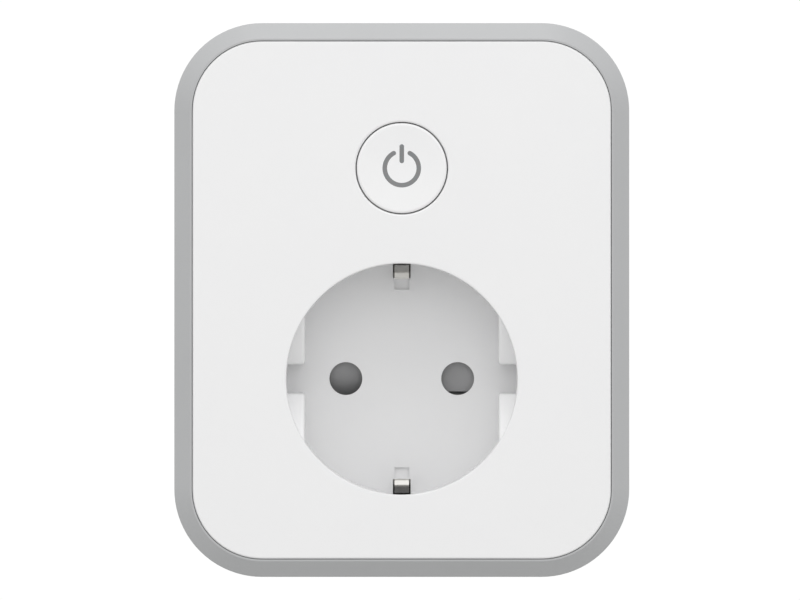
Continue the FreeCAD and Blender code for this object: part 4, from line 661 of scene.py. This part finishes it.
class NodeShape:
    """A Geometry Nodes tree with named sizes, which is turned into a plain mesh."""

    def __init__(self, name: str, sizes: dict[str, float | int]) -> None:
        """Start the tree.

        Args:
            name: name of the tree.
            sizes: name and value of each size that the tree takes.
        """
        self.tree = bpy.data.node_groups.new(name, "GeometryNodeTree")
        self.tree.interface.new_socket("Geometry", in_out="INPUT",
                                       socket_type="NodeSocketGeometry")
        self.tree.interface.new_socket("Geometry", in_out="OUTPUT",
                                       socket_type="NodeSocketGeometry")
        self.sizes = sizes
        self.keys = {}
        for size, value in sizes.items():
            kind = "NodeSocketInt" if isinstance(value, int) else "NodeSocketFloat"
            socket = self.tree.interface.new_socket(size, in_out="INPUT", socket_type=kind)
            self.keys[size] = socket.identifier
        self.given = self.tree.nodes.new("NodeGroupInput").outputs

    def node(self, kind: str, inputs: dict | None = None, **settings: object) -> bpy.types.Node:
        """Add a node to the tree; see add_node."""
        return add_node(self.tree, kind, inputs, **settings)

    def end(self, geometry: Socket, material: Material) -> None:
        """Realize the copies, set their material and close the tree.

        Args:
            geometry: what the tree made.
            material: its finish.
        """
        real = self.node("GeometryNodeRealizeInstances", {"Geometry": geometry})
        flat = self.node("GeometryNodeSetShadeSmooth", {"Geometry": real.outputs[0]})
        dressed = self.node("GeometryNodeSetMaterial", {"Geometry": flat.outputs[0],
                                                        "Material": material})
        self.node("NodeGroupOutput", {"Geometry": dressed.outputs[0]})

    def turn_of_wire(self, turn_steps: int, wire_steps: int) -> Socket:
        """Make one turn from the sizes "Turn Radius" and "Wire Radius".

        Args:
            turn_steps: facets around the turn.
            wire_steps: facets around the wire.

        Returns:
            The turn's mesh.
        """
        turn, wire = (self.node("GeometryNodeCurvePrimitiveCircle",
                                {"Resolution": steps, "Radius": self.given[size]})
                      for steps, size in ((turn_steps, "Turn Radius"), (wire_steps, "Wire Radius")))
        return self.node("GeometryNodeCurveToMesh", {"Curve": turn.outputs["Curve"],
                                                     "Profile Curve": wire.outputs["Curve"]}
                         ).outputs[0]

    def make(self, name: str, points: list[Vector], place: Matrix,
             joined: bool = False) -> bpy.types.Object:
        """Run the tree and keep its result as a plain mesh.

        Args:
            name: name of the piece.
            points: points that the tree works on.
            place: where the result goes, and how it is turned.
            joined: whether the points form one line.

        Returns:
            The piece, with its place in its mesh.
        """
        seed = bpy.data.meshes.new(f"{name}_points")
        pairs = [(start, start + 1) for start in range(len(points) - 1)] if joined else []
        seed.from_pydata([tuple(point) for point in points], pairs, [])
        holder = placed(f"{name}_holder", seed)
        modifier = holder.modifiers.new("shape", "NODES")
        modifier.node_group = self.tree
        for size, value in self.sizes.items():
            modifier[self.keys[size]] = value
        mesh = evaluated(holder)
        mesh.transform(place)
        mesh.name = name
        bpy.data.objects.remove(holder)
        return placed(name, mesh)


# ------------------------------------------------------------------ finishes of the slots
def finishes() -> dict[str, Finish]:
    """Return the finish of each material slot of the record."""
    cans = islands("smoothing_capacitors")
    bodies = [pair for pair in cans if pair[1].x - pair[0].x > CAN_AT_LEAST]
    fuse_low, fuse_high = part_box("fuse")
    return {
        # ABS from a finely eroded mould: near white, with a soft sheen and no visible grain
        "white_abs": MouldedPlastic("white_ABS_fine_eroded", "#efefef", "#ededee", 0.42,
                                    Skin.ERODED),
        # the same plastic coloured through in mid grey
        "grey_abs": MouldedPlastic("grey_ABS_satin", "#b4b5b6", "#b0b1b2", 0.38, Skin.SATIN),
        "button_abs": MouldedPlastic("white_ABS_satin_cap", "#f0f0f0", "#eeeeef", 0.36,
                                     Skin.SATIN),
        # milky grey light guide, which passes the lamp's light
        "symbol_grey": MouldedPlastic("grey_polycarbonate_light_guide", "#7e7f80", "#7a7b7c",
                                      0.35, Skin.SATIN, 1.585, 0.15),
        "dark_plastic": MouldedPlastic("black_nylon_matt", "#232325", "#2a2a2c", 0.55,
                                       Skin.COARSE, 1.53),
        "shutter_plastic": MouldedPlastic("grey_acetal_moulded", "#a0a0a1", "#9a9a9b", 0.38,
                                          Skin.SATIN, 1.48),
        "carrier_plastic": MouldedPlastic("black_phenolic_moulded", "#1d1c1b", "#272523", 0.6,
                                          Skin.COARSE, 1.6),
        "relay_blue": MouldedPlastic("blue_polyester_relay_case", "#1c4f9c", "#1a4a92", 0.32,
                                     Skin.SATIN, 1.57),
        "film_box": MouldedPlastic("yellow_polyester_box", "#c9b13c", "#c3aa36", 0.4,
                                   Skin.SATIN, 1.57),
        "chip_black": MouldedPlastic("black_epoxy_package", "#1b1b1c", "#222223", 0.62,
                                     Skin.COARSE, 1.55),
        "varistor_blue": MouldedPlastic("blue_epoxy_dipped", "#21558f", "#1c4c82", 0.3,
                                        Skin.COARSE, 1.55),
        "led_white": MouldedPlastic("pale_silicone_lamp", "#efeccf", "#f1eedb", 0.25,
                                    Skin.SATIN, 1.41, 0.3),
        # nickel on rolled strip: its own pale colour at the bend, and painted dark reflection in
        # its colour toward the root and tip, mid grey on the upper clip and near black on the lower
        # one
        "clip_metal": RubbedStripPaintedReflection("nickel_plated_strip_painted_reflection", "#e3e2de", "#dad8d3", 0.34,
                                  Along.Y),
        "pin_metal": WorkedMetal("nickel_plated_turned_brass", "#d3d1cb", "#cac7c0", 0.24,
                                 Along.X, 0.18),
        "screw_steel": WorkedMetal("zinc_plated_steel", "#a9adb0", "#9da0a0", 0.34, Along.X, 0.2),
        "spring_steel": WorkedMetal("rolled_spring_steel", "#9c9da0", "#8e8f93", 0.3, Along.X),
        "relay_iron": WorkedMetal("plated_soft_iron", "#8f9194", "#85878b", 0.4, Along.Z, 0.2),
        "shield_tin": WorkedMetal("tinned_sheet", "#b9babb", "#adaeb0", 0.36, Along.Z, 0.3),
        "brass_sheet": WorkedMetal("stamped_brass_sheet", "#d0a85c", "#c39a50", 0.28, Along.Y),
        "copper_sheet": WorkedMetal("stamped_copper_sheet", "#c98259", "#b87350", 0.3, Along.Z),
        "board_green": SolderMask("green_solder_mask", "#14532d", "#18592f", 0.35),
        "board_black": SolderMask("black_solder_mask", "#141517", "#1a1b1e", 0.35, "#2b2d31",
                                  1.27),
        "winding_copper": Wound("enamelled_copper_wire", "#b5562c", "#a44a24", 0.3),
        "winding_tape": Wound("yellow_polyester_tape", "#d9b22a", "#d2a922", 0.28, 0.0, 3.8,
                              0.06),
        "ferrite": Sintered("sintered_ferrite", "#2b2c2f", "#3b3c3f", 0.62),
        "can_sleeve": ShrinkSleeve("black_shrink_sleeve", "#16181f", "#1b1e26", 0.34,
                                   tuple(pair[0].y + SLEEVE_LIP for pair in bodies),
                                   tuple((pair[0].x + pair[1].x) / 2 for pair in bodies)),
        "fuse_glass": CappedGlass("glass_fuse_with_nickel_caps", "#f2f5f4", "#e9eeec", 0.12,
                                  (fuse_low.x + fuse_high.x) / 2,
                                  (fuse_high.x - fuse_low.x) / 2 - FUSE_CAP),
    }


@dataclass
class Wardrobe:
    """Builds each slot's material once and dresses the CAD pieces with it."""

    made: dict[str, Material]

    @classmethod
    def full(cls) -> "Wardrobe":
        """Return a wardrobe with the material of every slot."""
        return cls({slot: finish.build() for slot, finish in finishes().items()})

    def dress(self) -> None:
        """Give every CAD node the material of its slot."""
        for part in frame["record"]["subparts"]:
            mesh = frame["nodes"][part["node"]].data
            coat(mesh, self.made[part["material_slot"]])
            LOG.info("%s: %s", part["node"], mesh.materials[0].name)


def keep(piece: bpy.types.Object, body: str, slot: str, *stands_for: str) -> None:
    """Hang a piece on its body and hide the CAD nodes that it replaces.

    Args:
        piece: the piece, with its place in its mesh.
        body: the CAD body that it moves with.
        slot: not used.
        stands_for: CAD nodes that it replaces.
    """
    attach(piece, body)
    if stands_for:
        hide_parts(*stands_for)
    LOG.info("%s: %d faces on %s", piece.name, len(piece.data.polygons), body)


# ------------------------------------------------------------------ sub-assemblies
@dataclass
class OutletFront:
    """Front cover with the softly rounded edges of the ribs in its outlet.

    Attributes:
        edge_round: rounding of a rib's edges, in metres.
        steps: facets across a rounding.
        flat: distance from the plug axis to the flat of a rib, in metres.
        groove: half the width of the groove between two ribs, in metres.
        near: how exactly a point must lie on a rib, in metres.
        flat_within: triangles closer to one plane than this, in degrees, become one face.
        rib_reach: flat of a rib to the far side of its root, in metres.
        rib_half: height of a rib's end above or below the plug axis, in metres.
        ridge: an edge of a rib turns by more than this, in degrees.
        sharp: edges that turn by more than this stay sharp, in degrees.
    """

    edge_round: float = 0.5 * MM
    steps: int = 4
    flat: float = 16.4 * MM
    groove: float = 2.45 * MM
    near: float = 0.01 * MM
    flat_within: float = 0.2
    rib_reach: float = 3.2 * MM
    rib_half: float = 11 * MM
    ridge: float = 20.0
    sharp: float = 32.0

    def on_rib(self, point: Vector) -> bool:
        """Say whether a point lies on the outline of a rib."""
        return abs(point.x) < self.flat + self.rib_reach and abs(point.z) < self.rib_half

    def is_rib_edge(self, edge: bmesh.types.BMEdge) -> bool:
        """Say whether an edge is one of the three free edges of a rib.

        Args:
            edge: an edge of the merged cover.

        Returns:
            True if two planes of a rib meet there in a ridge.
        """
        if len(edge.link_faces) != 2 or not edge.is_convex:
            return False
        if edge.calc_face_angle(0.0) < math.radians(self.ridge):
            return False
        first, second = (vert.co for vert in edge.verts)
        if not (self.on_rib(first) and self.on_rib(second)):
            return False
        flats = all(abs(abs(point.x) - self.flat) < self.near for point in (first, second))
        grooves = all(abs(abs(point.z) - self.groove) < self.near for point in (first, second))
        inside = min(abs(first.x), abs(second.x)) > self.flat - self.near
        return inside and (flats or grooves)

    def build(self, material: Material) -> bpy.types.Object:
        """Round the ribs of a copy of the front cover.

        Args:
            material: finish of the cover.

        Returns:
            The piece that stands for the front cover.
        """
        piece = merged_copy("front_cover", "front_cover_rounded_ribs")
        shape = bmesh.new()
        shape.from_mesh(piece.data)
        bmesh.ops.dissolve_limit(shape, angle_limit=math.radians(self.flat_within),
                                 verts=shape.verts, edges=shape.edges)
        edges = [edge for edge in shape.edges if self.is_rib_edge(edge)]
        LOG.info("rib edges to round: %d", len(edges))
        bmesh.ops.bevel(shape, geom=edges, offset=self.edge_round, offset_type="OFFSET",
                        segments=self.steps, profile=0.5, affect="EDGES", clamp_overlap=False)
        bmesh.ops.triangulate(shape, faces=[face for face in shape.faces if len(face.verts) > 4])
        shape.to_mesh(piece.data)
        shape.free()
        smooth(piece, self.sharp)
        coat(piece.data, material)
        return piece


@dataclass
class BentClip:
    """Earth clip bent from strip, with a rounded step where it turns toward the plug.

    Attributes:
        node: CAD node of the clip.
        sign: 1 for the upper clip, -1 for the lower one.
        sheet: thickness of the strip, in metres.
        bend: radius of its bends, in metres.
        lean_from: depth where the strip starts to lean in, from the wall, in metres.
        apex_from: depth where the strip reaches the apex, in metres.
        apex_to: depth where it leaves the apex, in metres.
        step_to: depth of the step's front end, in metres.
        step: height of the step, in metres.
        tip_rise: apex to the end of the tip, in metres.
        tip_inset: room in front of the tip for the slant of its end, in metres.
    """

    node: str
    sign: int
    sheet: float = 0.6 * MM
    bend: float = 0.7 * MM
    lean_from: float = 20.5 * MM
    apex_from: float = 27.9 * MM
    apex_to: float = 28.3 * MM
    step_to: float = 28.9 * MM
    step: float = 1.05 * MM
    tip_rise: float = 2.3 * MM
    tip_inset: float = 0.15 * MM

    def path(self) -> list[Vector]:
        """Return the middle line of the strip from its root to its tip."""
        low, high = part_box(self.node)
        inner = min(abs(low.z), abs(high.z))
        outer = max(abs(low.z), abs(high.z)) - self.sheet / 2
        apex = inner + self.sheet / 2
        tip = low.y + self.tip_inset
        line = [(high.y, outer), (-self.lean_from, outer), (-self.apex_from, apex),
                (-self.apex_to, apex), (-self.step_to, apex + self.step),
                (tip, apex + self.tip_rise)]
        return [Vector((0.0, depth, self.sign * height)) for depth, height in line]

    def build(self, material: Material) -> bpy.types.Object:
        """Sweep the strip's section along its middle line.

        Args:
            material: finish of the strip.

        Returns:
            The piece that stands for the CAD clip.
        """
        low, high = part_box(self.node)
        shape = NodeShape("bent_strip", {"Width": high.x - low.x, "Sheet": self.sheet,
                                         "Bend Radius": self.bend, "Bend Steps": 8})
        given = shape.given
        line = shape.node("GeometryNodeMeshToCurve", {"Mesh": given["Geometry"]})
        bent = shape.node("GeometryNodeFilletCurve",
                          {"Curve": line.outputs[0], "Radius": given["Bend Radius"],
                           "Count": given["Bend Steps"], "Limit Radius": True}, mode="POLY")
        upright = shape.node("GeometryNodeSetCurveNormal", {"Curve": bent.outputs[0]},
                             mode="Z_UP")
        section = shape.node("GeometryNodeCurvePrimitiveQuadrilateral",
                             {"Width": given["Width"], "Height": given["Sheet"]})
        strip = shape.node("GeometryNodeCurveToMesh",
                           {"Curve": upright.outputs[0], "Profile Curve": section.outputs[0],
                            "Fill Caps": True})
        shape.end(strip.outputs[0], material)
        piece = shape.make(f"{self.node}_bent_strip", self.path(), Matrix(), joined=True)
        smooth(piece)
        return piece


@dataclass
class ShutterWings:
    """Shutter with a rounded left wing and a right wing that ends in a sharp step.

    Attributes:
        ramp_from: pivot to where a wing's ramp begins, in metres.
        rows: strips into which the ramps are divided.
        left_fall: how far the left wing falls back from top to bottom, in metres.
        right_fall: how far the right wing drops at its step, in metres.
        right_edge: height of that step above the pivot, in metres.
        right_slope: how far the right wing falls back above its step, in metres.
        near: how exactly a point must lie on a face, in metres.
        cut_within: corners closer to a cut than this are on it, in metres.
        sharp: edges that turn by more than this stay sharp, in degrees.
    """

    ramp_from: float = 4.6 * MM
    rows: int = 32
    left_fall: float = 2.5 * MM
    right_fall: float = 2.4 * MM
    right_edge: float = -2.3 * MM
    right_slope: float = 0.3 * MM
    near: float = 0.02 * MM
    cut_within: float = 0.005 * MM
    sharp: float = 25.0

    def fall(self, point: Vector, top: float) -> float:
        """Say how far a wing's face lies behind its highest line.

        Args:
            point: a point of the face.
            top: half the height of a wing.

        Returns:
            The fall in metres.
        """
        down = (top - point.z) / (2 * top)
        if point.x < 0:
            return self.left_fall * down ** 2
        return self.right_fall if point.z < self.right_edge else self.right_slope * down

    def build(self, material: Material) -> bpy.types.Object:
        """Divide the ramps of a copy of the shutter and bend them.

        Args:
            material: finish of the shutter.

        Returns:
            The piece that stands for the shutter.
        """
        piece = merged_copy("shutter", "shutter_shaped_wings")
        low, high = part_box("shutter")
        shape = bmesh.new()
        shape.from_mesh(piece.data)
        wing = [vert.co.z for vert in shape.verts if abs(vert.co.x) > self.ramp_from + self.near]
        top = max(wing)
        for row in range(1, self.rows):
            level = -top + 2 * top * row / self.rows
            bmesh.ops.bisect_plane(shape, geom=shape.verts[:] + shape.edges[:] + shape.faces[:],
                                   dist=self.cut_within, plane_co=(0.0, 0.0, level),
                                   plane_no=(0.0, 0.0, 1.0))
        for vert in shape.verts:
            across = abs(vert.co.x)
            inner_edge = abs(across - self.ramp_from) < self.near
            on_front = abs(vert.co.y - low.y) < self.near
            on_back = abs(vert.co.y - high.y) < self.near
            on_wing = across > self.ramp_from - self.near
            if on_wing and not on_back and not (inner_edge and on_front):
                vert.co.y = low.y + self.fall(vert.co, top)
        bmesh.ops.recalc_face_normals(shape, faces=shape.faces)
        shape.to_mesh(piece.data)
        shape.free()
        smooth(piece, self.sharp)
        coat(piece.data, material)
        return piece


@dataclass
class RingWinding:
    """Wire wound around the ring of the line choke.

    Attributes:
        turns: number of turns.
        wire: radius of the wire, in metres.
    """

    turns: int = 26
    wire: float = 0.22 * MM

    def build(self, material: Material) -> bpy.types.Object:
        """Wind the wire around a ring as large as the CAD choke.

        Args:
            material: finish of the wire.

        Returns:
            The winding.
        """
        low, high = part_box("line_choke")
        section = (high.y - low.y) / 2
        ring = (high.x - low.x) / 2 - section
        shape = NodeShape("ring_winding", {"Ring Radius": ring, "Turn Radius": section,
                                           "Wire Radius": self.wire, "Turns": self.turns})
        given = shape.given
        path = shape.node("GeometryNodeCurvePrimitiveCircle",
                          {"Resolution": given["Turns"], "Radius": given["Ring Radius"]})
        loop = shape.turn_of_wire(turn_steps=20, wire_steps=8)
        points = shape.node("GeometryNodeCurveToPoints",
                            {"Curve": path.outputs["Curve"]}, mode="EVALUATED")
        turned = shape.node("GeometryNodeInstanceOnPoints",
                            {"Points": points.outputs["Points"], "Instance": loop,
                             "Rotation": points.outputs["Rotation"]})
        shape.end(turned.outputs[0], material)
        place = Matrix.Translation((low + high) / 2) @ Matrix.Rotation(math.pi / 2, 4, "X")
        return shape.make("line_choke_wire", [Vector()], place)


@dataclass
class CoilWinding:
    """Layers of wire beside each other on the relay's coil.

    Attributes:
        wire: radius of the wire, in metres.
        flange: thickness of a flange of the coil, in metres.
        sink: winding below the flanges, in metres.
    """

    wire: float = 0.16 * MM
    flange: float = 0.7 * MM
    sink: float = 0.5 * MM

    def build(self, material: Material) -> bpy.types.Object:
        """Stack the turns between the flanges of the CAD coil.

        Args:
            material: finish of the wire.

        Returns:
            The winding.
        """
        low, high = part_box("relay_coil")
        length = high.y - low.y - 2 * (self.flange + self.wire)
        radius = (high.x - low.x) / 2 - self.sink + self.wire
        turns = int(length / (2 * self.wire)) + 1
        shape = NodeShape("coil_winding", {"Turn Radius": radius, "Wire Radius": self.wire,
                                           "Length": length, "Turns": turns})
        given = shape.given
        step = shape.node("ShaderNodeCombineXYZ", {"Z": given["Length"]})
        line = shape.node("GeometryNodeMeshLine", {"Count": given["Turns"],
                                                   "Offset": step.outputs[0]},
                          mode="END_POINTS")
        loop = shape.turn_of_wire(turn_steps=40, wire_steps=6)
        turned = shape.node("GeometryNodeInstanceOnPoints",
                            {"Points": line.outputs[0], "Instance": loop})
        shape.end(turned.outputs[0], material)
        place = (Matrix.Translation((low + high) / 2) @ Matrix.Rotation(math.pi / 2, 4, "X")
                 @ Matrix.Translation((0.0, 0.0, -length / 2)))
        return shape.make("relay_coil_wire", [Vector()], place)


@dataclass
class SolderJoints:
    """Cones of solder where leads and tabs come through the back of a board.

    Attributes:
        board: CAD node of the board.
        leads: CAD nodes with round or square leads, each of which gets a joint.
        tabs: CAD nodes with one flat tab each, which gets one joint.
        below: how far leads and tabs stand out behind the board, in metres.
        lead_reach: points closer than this belong to the same lead, in metres.
        radius: foot of a joint, in metres.
        tip: radius of a joint at its tip, in metres.
        height: height of a joint, in metres.
        near: how exactly an end must lie at its depth, in metres.
    """

    board: str
    leads: tuple[str, ...]
    tabs: tuple[str, ...] = ()
    below: float = 0.8 * MM
    lead_reach: float = 1.2 * MM
    radius: float = 0.95 * MM
    tip: float = 0.4 * MM
    height: float = 0.7 * MM
    near: float = 0.05 * MM

    def ends(self, node: str) -> list[Vector]:
        """Return the points of a CAD node that lie at the depth where leads end."""
        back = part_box(self.board)[1].y
        return [vert.co for vert in frame["nodes"][node].data.vertices
                if abs(vert.co.y - back - self.below) < self.near]

    def on_back(self, points: list[Vector]) -> Vector:
        """Return the middle of some points, moved onto the back of the board."""
        middle = sum(points, Vector()) / len(points)
        return Vector((middle.x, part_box(self.board)[1].y, middle.z))

    def places(self) -> list[Vector]:
        """Find where leads and tabs pass the back of the board.

        Returns:
            One point on the back of the board for each joint.
        """
        found = [self.on_back(self.ends(node)) for node in self.tabs]
        for node in self.leads:
            tips = self.ends(node)
            while tips:
                first = tips[0]
                found.append(self.on_back([tip for tip in tips
                                           if (tip - first).length < self.lead_reach]))
                tips = [tip for tip in tips if (tip - first).length >= self.lead_reach]
        return found

    def build(self, material: Material) -> bpy.types.Object:
        """Set a joint at every lead.

        Args:
            material: finish of the solder.

        Returns:
            All joints as one piece.
        """
        shape = NodeShape("solder_joints", {"Foot Radius": self.radius, "Tip Radius": self.tip,
                                            "Height": self.height})
        given = shape.given
        points = shape.node("GeometryNodeMeshToPoints", {"Mesh": given["Geometry"]})
        cone = shape.node("GeometryNodeMeshCone",
                          {"Vertices": 20, "Side Segments": 4,
                           "Radius Top": given["Tip Radius"], "Radius Bottom": given["Foot Radius"],
                           "Depth": given["Height"]})
        turned = shape.node("GeometryNodeInstanceOnPoints",
                            {"Points": points.outputs[0], "Instance": cone.outputs["Mesh"],
                             "Rotation": (-math.pi / 2, 0.0, 0.0)})
        shape.end(turned.outputs[0], material)
        places = self.places()
        LOG.info("%s: %d solder joints", self.board, len(places))
        return shape.make(f"{self.board}_solder", places, Matrix())


# ------------------------------------------------------------------ studio
# each lamp's name, degrees to the right of the camera and above it, and share of the light
LAMPS = (("top_softbox", 0.0, 78.0, 0.097), ("upper_left_softbox", -45.0, 45.0, 0.08),
         ("upper_right_softbox", 45.0, 45.0, 0.08), ("front_softbox", 0.0, 15.0, 0.07))


@dataclass
class Studio:
    """Plain pale room: white surroundings, four soft lamps and a long lens.

    Attributes:
        lens_mm: focal length.
        view_width: width of the picture at the front face, in metres.
        aside: camera beside the middle of the housing, in metres.
        floor_gap: object to floor, in metres.
        lamp_distance: lamp to the front face, in metres.
        lamp_size: diameter of a lamp, in metres.
        surround: brightness of the room around the object, where 1 is white.
        seen: brightness of the room as the camera sees it.
        floor_half: half the width of the floor, in metres.
        clip: nearest and farthest that the camera sees, in camera distances.
    """

    lens_mm: float = 600.0
    view_width: float = 134.9 * MM
    aside: float = -0.3 * MM
    floor_gap: float = 0.09
    lamp_distance: float = 0.8
    lamp_size: float = 0.45
    surround: float = 0.943
    seen: float = 1.02
    floor_half: float = 1.5
    clip: tuple[float, float] = (0.1, 10)

    def camera(self) -> None:
        """Set the camera square to the front face, at the height of the housing's middle."""
        low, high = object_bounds()
        data = bpy.data.cameras.new("front_camera")
        data.lens = self.lens_mm
        distance = self.view_width * self.lens_mm / data.sensor_width
        data.clip_start, data.clip_end = (distance * share for share in self.clip)
        camera = placed("front_camera", data)
        camera.location = (self.aside, low.y - distance, (low.z + high.z) / 2)
        camera.rotation_euler = (math.pi / 2, 0.0, 0.0)
        bpy.context.scene.camera = camera

    def lamp(self, name: str, azimuth: float, elevation: float, share: float) -> None:
        """Hang one soft lamp that the camera doesn't see.

        Args:
            name: name of the lamp.
            azimuth: degrees to the right of the camera.
            elevation: degrees above the camera.
            share: its light on a surface square to it, where 1 is white.
        """
        data = bpy.data.lights.new(name, "AREA")
        data.shape = "DISK"
        data.size = self.lamp_size
        data.energy = share * (math.pi * self.lamp_distance) ** 2
        lamp = placed(name, data)
        turn, rise = math.radians(azimuth), math.radians(elevation)
        away = Vector((math.sin(turn) * math.cos(rise), -math.cos(turn) * math.cos(rise),
                       math.sin(rise)))
        low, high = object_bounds()
        middle = (low + high) / 2
        lamp.location = middle + away * self.lamp_distance
        lamp.rotation_mode = "QUATERNION"
        lamp.rotation_quaternion = away.to_track_quat("Z", "Y")
        lamp.visible_camera = False

    def surroundings(self) -> None:
        """Light the room from all sides; the camera sees plain white."""
        world = bpy.data.worlds.new("pale_room")
        world.use_nodes = True
        tree = world.node_tree
        tree.nodes.clear()
        white = linear("#ffffff")
        walls = add_node(tree, "ShaderNodeBackground", {"Color": white,
                                                        "Strength": self.surround})
        seen = add_node(tree, "ShaderNodeBackground", {"Color": white,
                                                       "Strength": self.seen})
        ray = add_node(tree, "ShaderNodeLightPath")
        mix = add_node(tree, "ShaderNodeMixShader",
                       {0: ray.outputs["Is Camera Ray"], 1: walls.outputs[0], 2: seen.outputs[0]})
        add_node(tree, "ShaderNodeOutputWorld", {"Surface": mix.outputs[0]})
        bpy.context.scene.world = world

    def floor(self) -> None:
        """Lay a plain pale floor below the object."""
        low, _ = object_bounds()
        half = self.floor_half
        mesh = bpy.data.meshes.new("pale_floor")
        mesh.from_pydata([(-half, -half, 0), (half, -half, 0), (half, half, 0), (-half, half, 0)],
                         [], [(0, 1, 2, 3)])
        mesh.transform(Matrix.Translation((0.0, 0.0, low.z - self.floor_gap)))
        mesh.materials.append(MouldedPlastic("pale_painted_board", "#c8c8c7", "#c6c6c5", 0.8,
                                             Skin.COARSE).build())
        floor = placed("pale_floor", mesh)
        floor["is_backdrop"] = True

    def build(self) -> None:
        """Set up the whole studio."""
        self.camera()
        for row in LAMPS:
            self.lamp(*row)
        self.surroundings()
        self.floor()
        scene = bpy.context.scene
        scene.view_settings.view_transform = "Standard"
        scene.view_settings.look = "None"


def main() -> None:
    """Dress the CAD pieces, add the sub-assemblies and set up the studio."""
    logging.basicConfig(level=logging.INFO, format="%(message)s")
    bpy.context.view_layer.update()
    wardrobe = Wardrobe.full()
    wardrobe.dress()
    made = wardrobe.made
    keep(OutletFront().build(made["white_abs"]), "housing", "white_abs", "front_cover")
    for node, body, sign in (("earth_clip_top", "upper_clip", 1),
                             ("earth_clip_bottom", "lower_clip", -1)):
        keep(BentClip(node, sign).build(made["clip_metal"]), body, "clip_metal", node)
    keep(ShutterWings().build(made["shutter_plastic"]), "shutter", "shutter_plastic", "shutter")
    keep(RingWinding().build(made["winding_copper"]), "housing", "winding_copper")
    keep(CoilWinding().build(made["winding_copper"]), "housing", "winding_copper")
    main_joints = SolderJoints("main_board",
                               ("smoothing_capacitors", "film_capacitor", "varistor", "fuse"),
                               ("live_load_bar", "neutral_load_bar", "live_input_bar",
                                "neutral_input_bar"))
    switch_joints = SolderJoints("control_board", ("tact_switch",))
    for joints in (main_joints, switch_joints):
        keep(joints.build(made["shield_tin"]), "housing", "shield_tin")
    Studio().build()


if __name__ == "__main__":
    main()
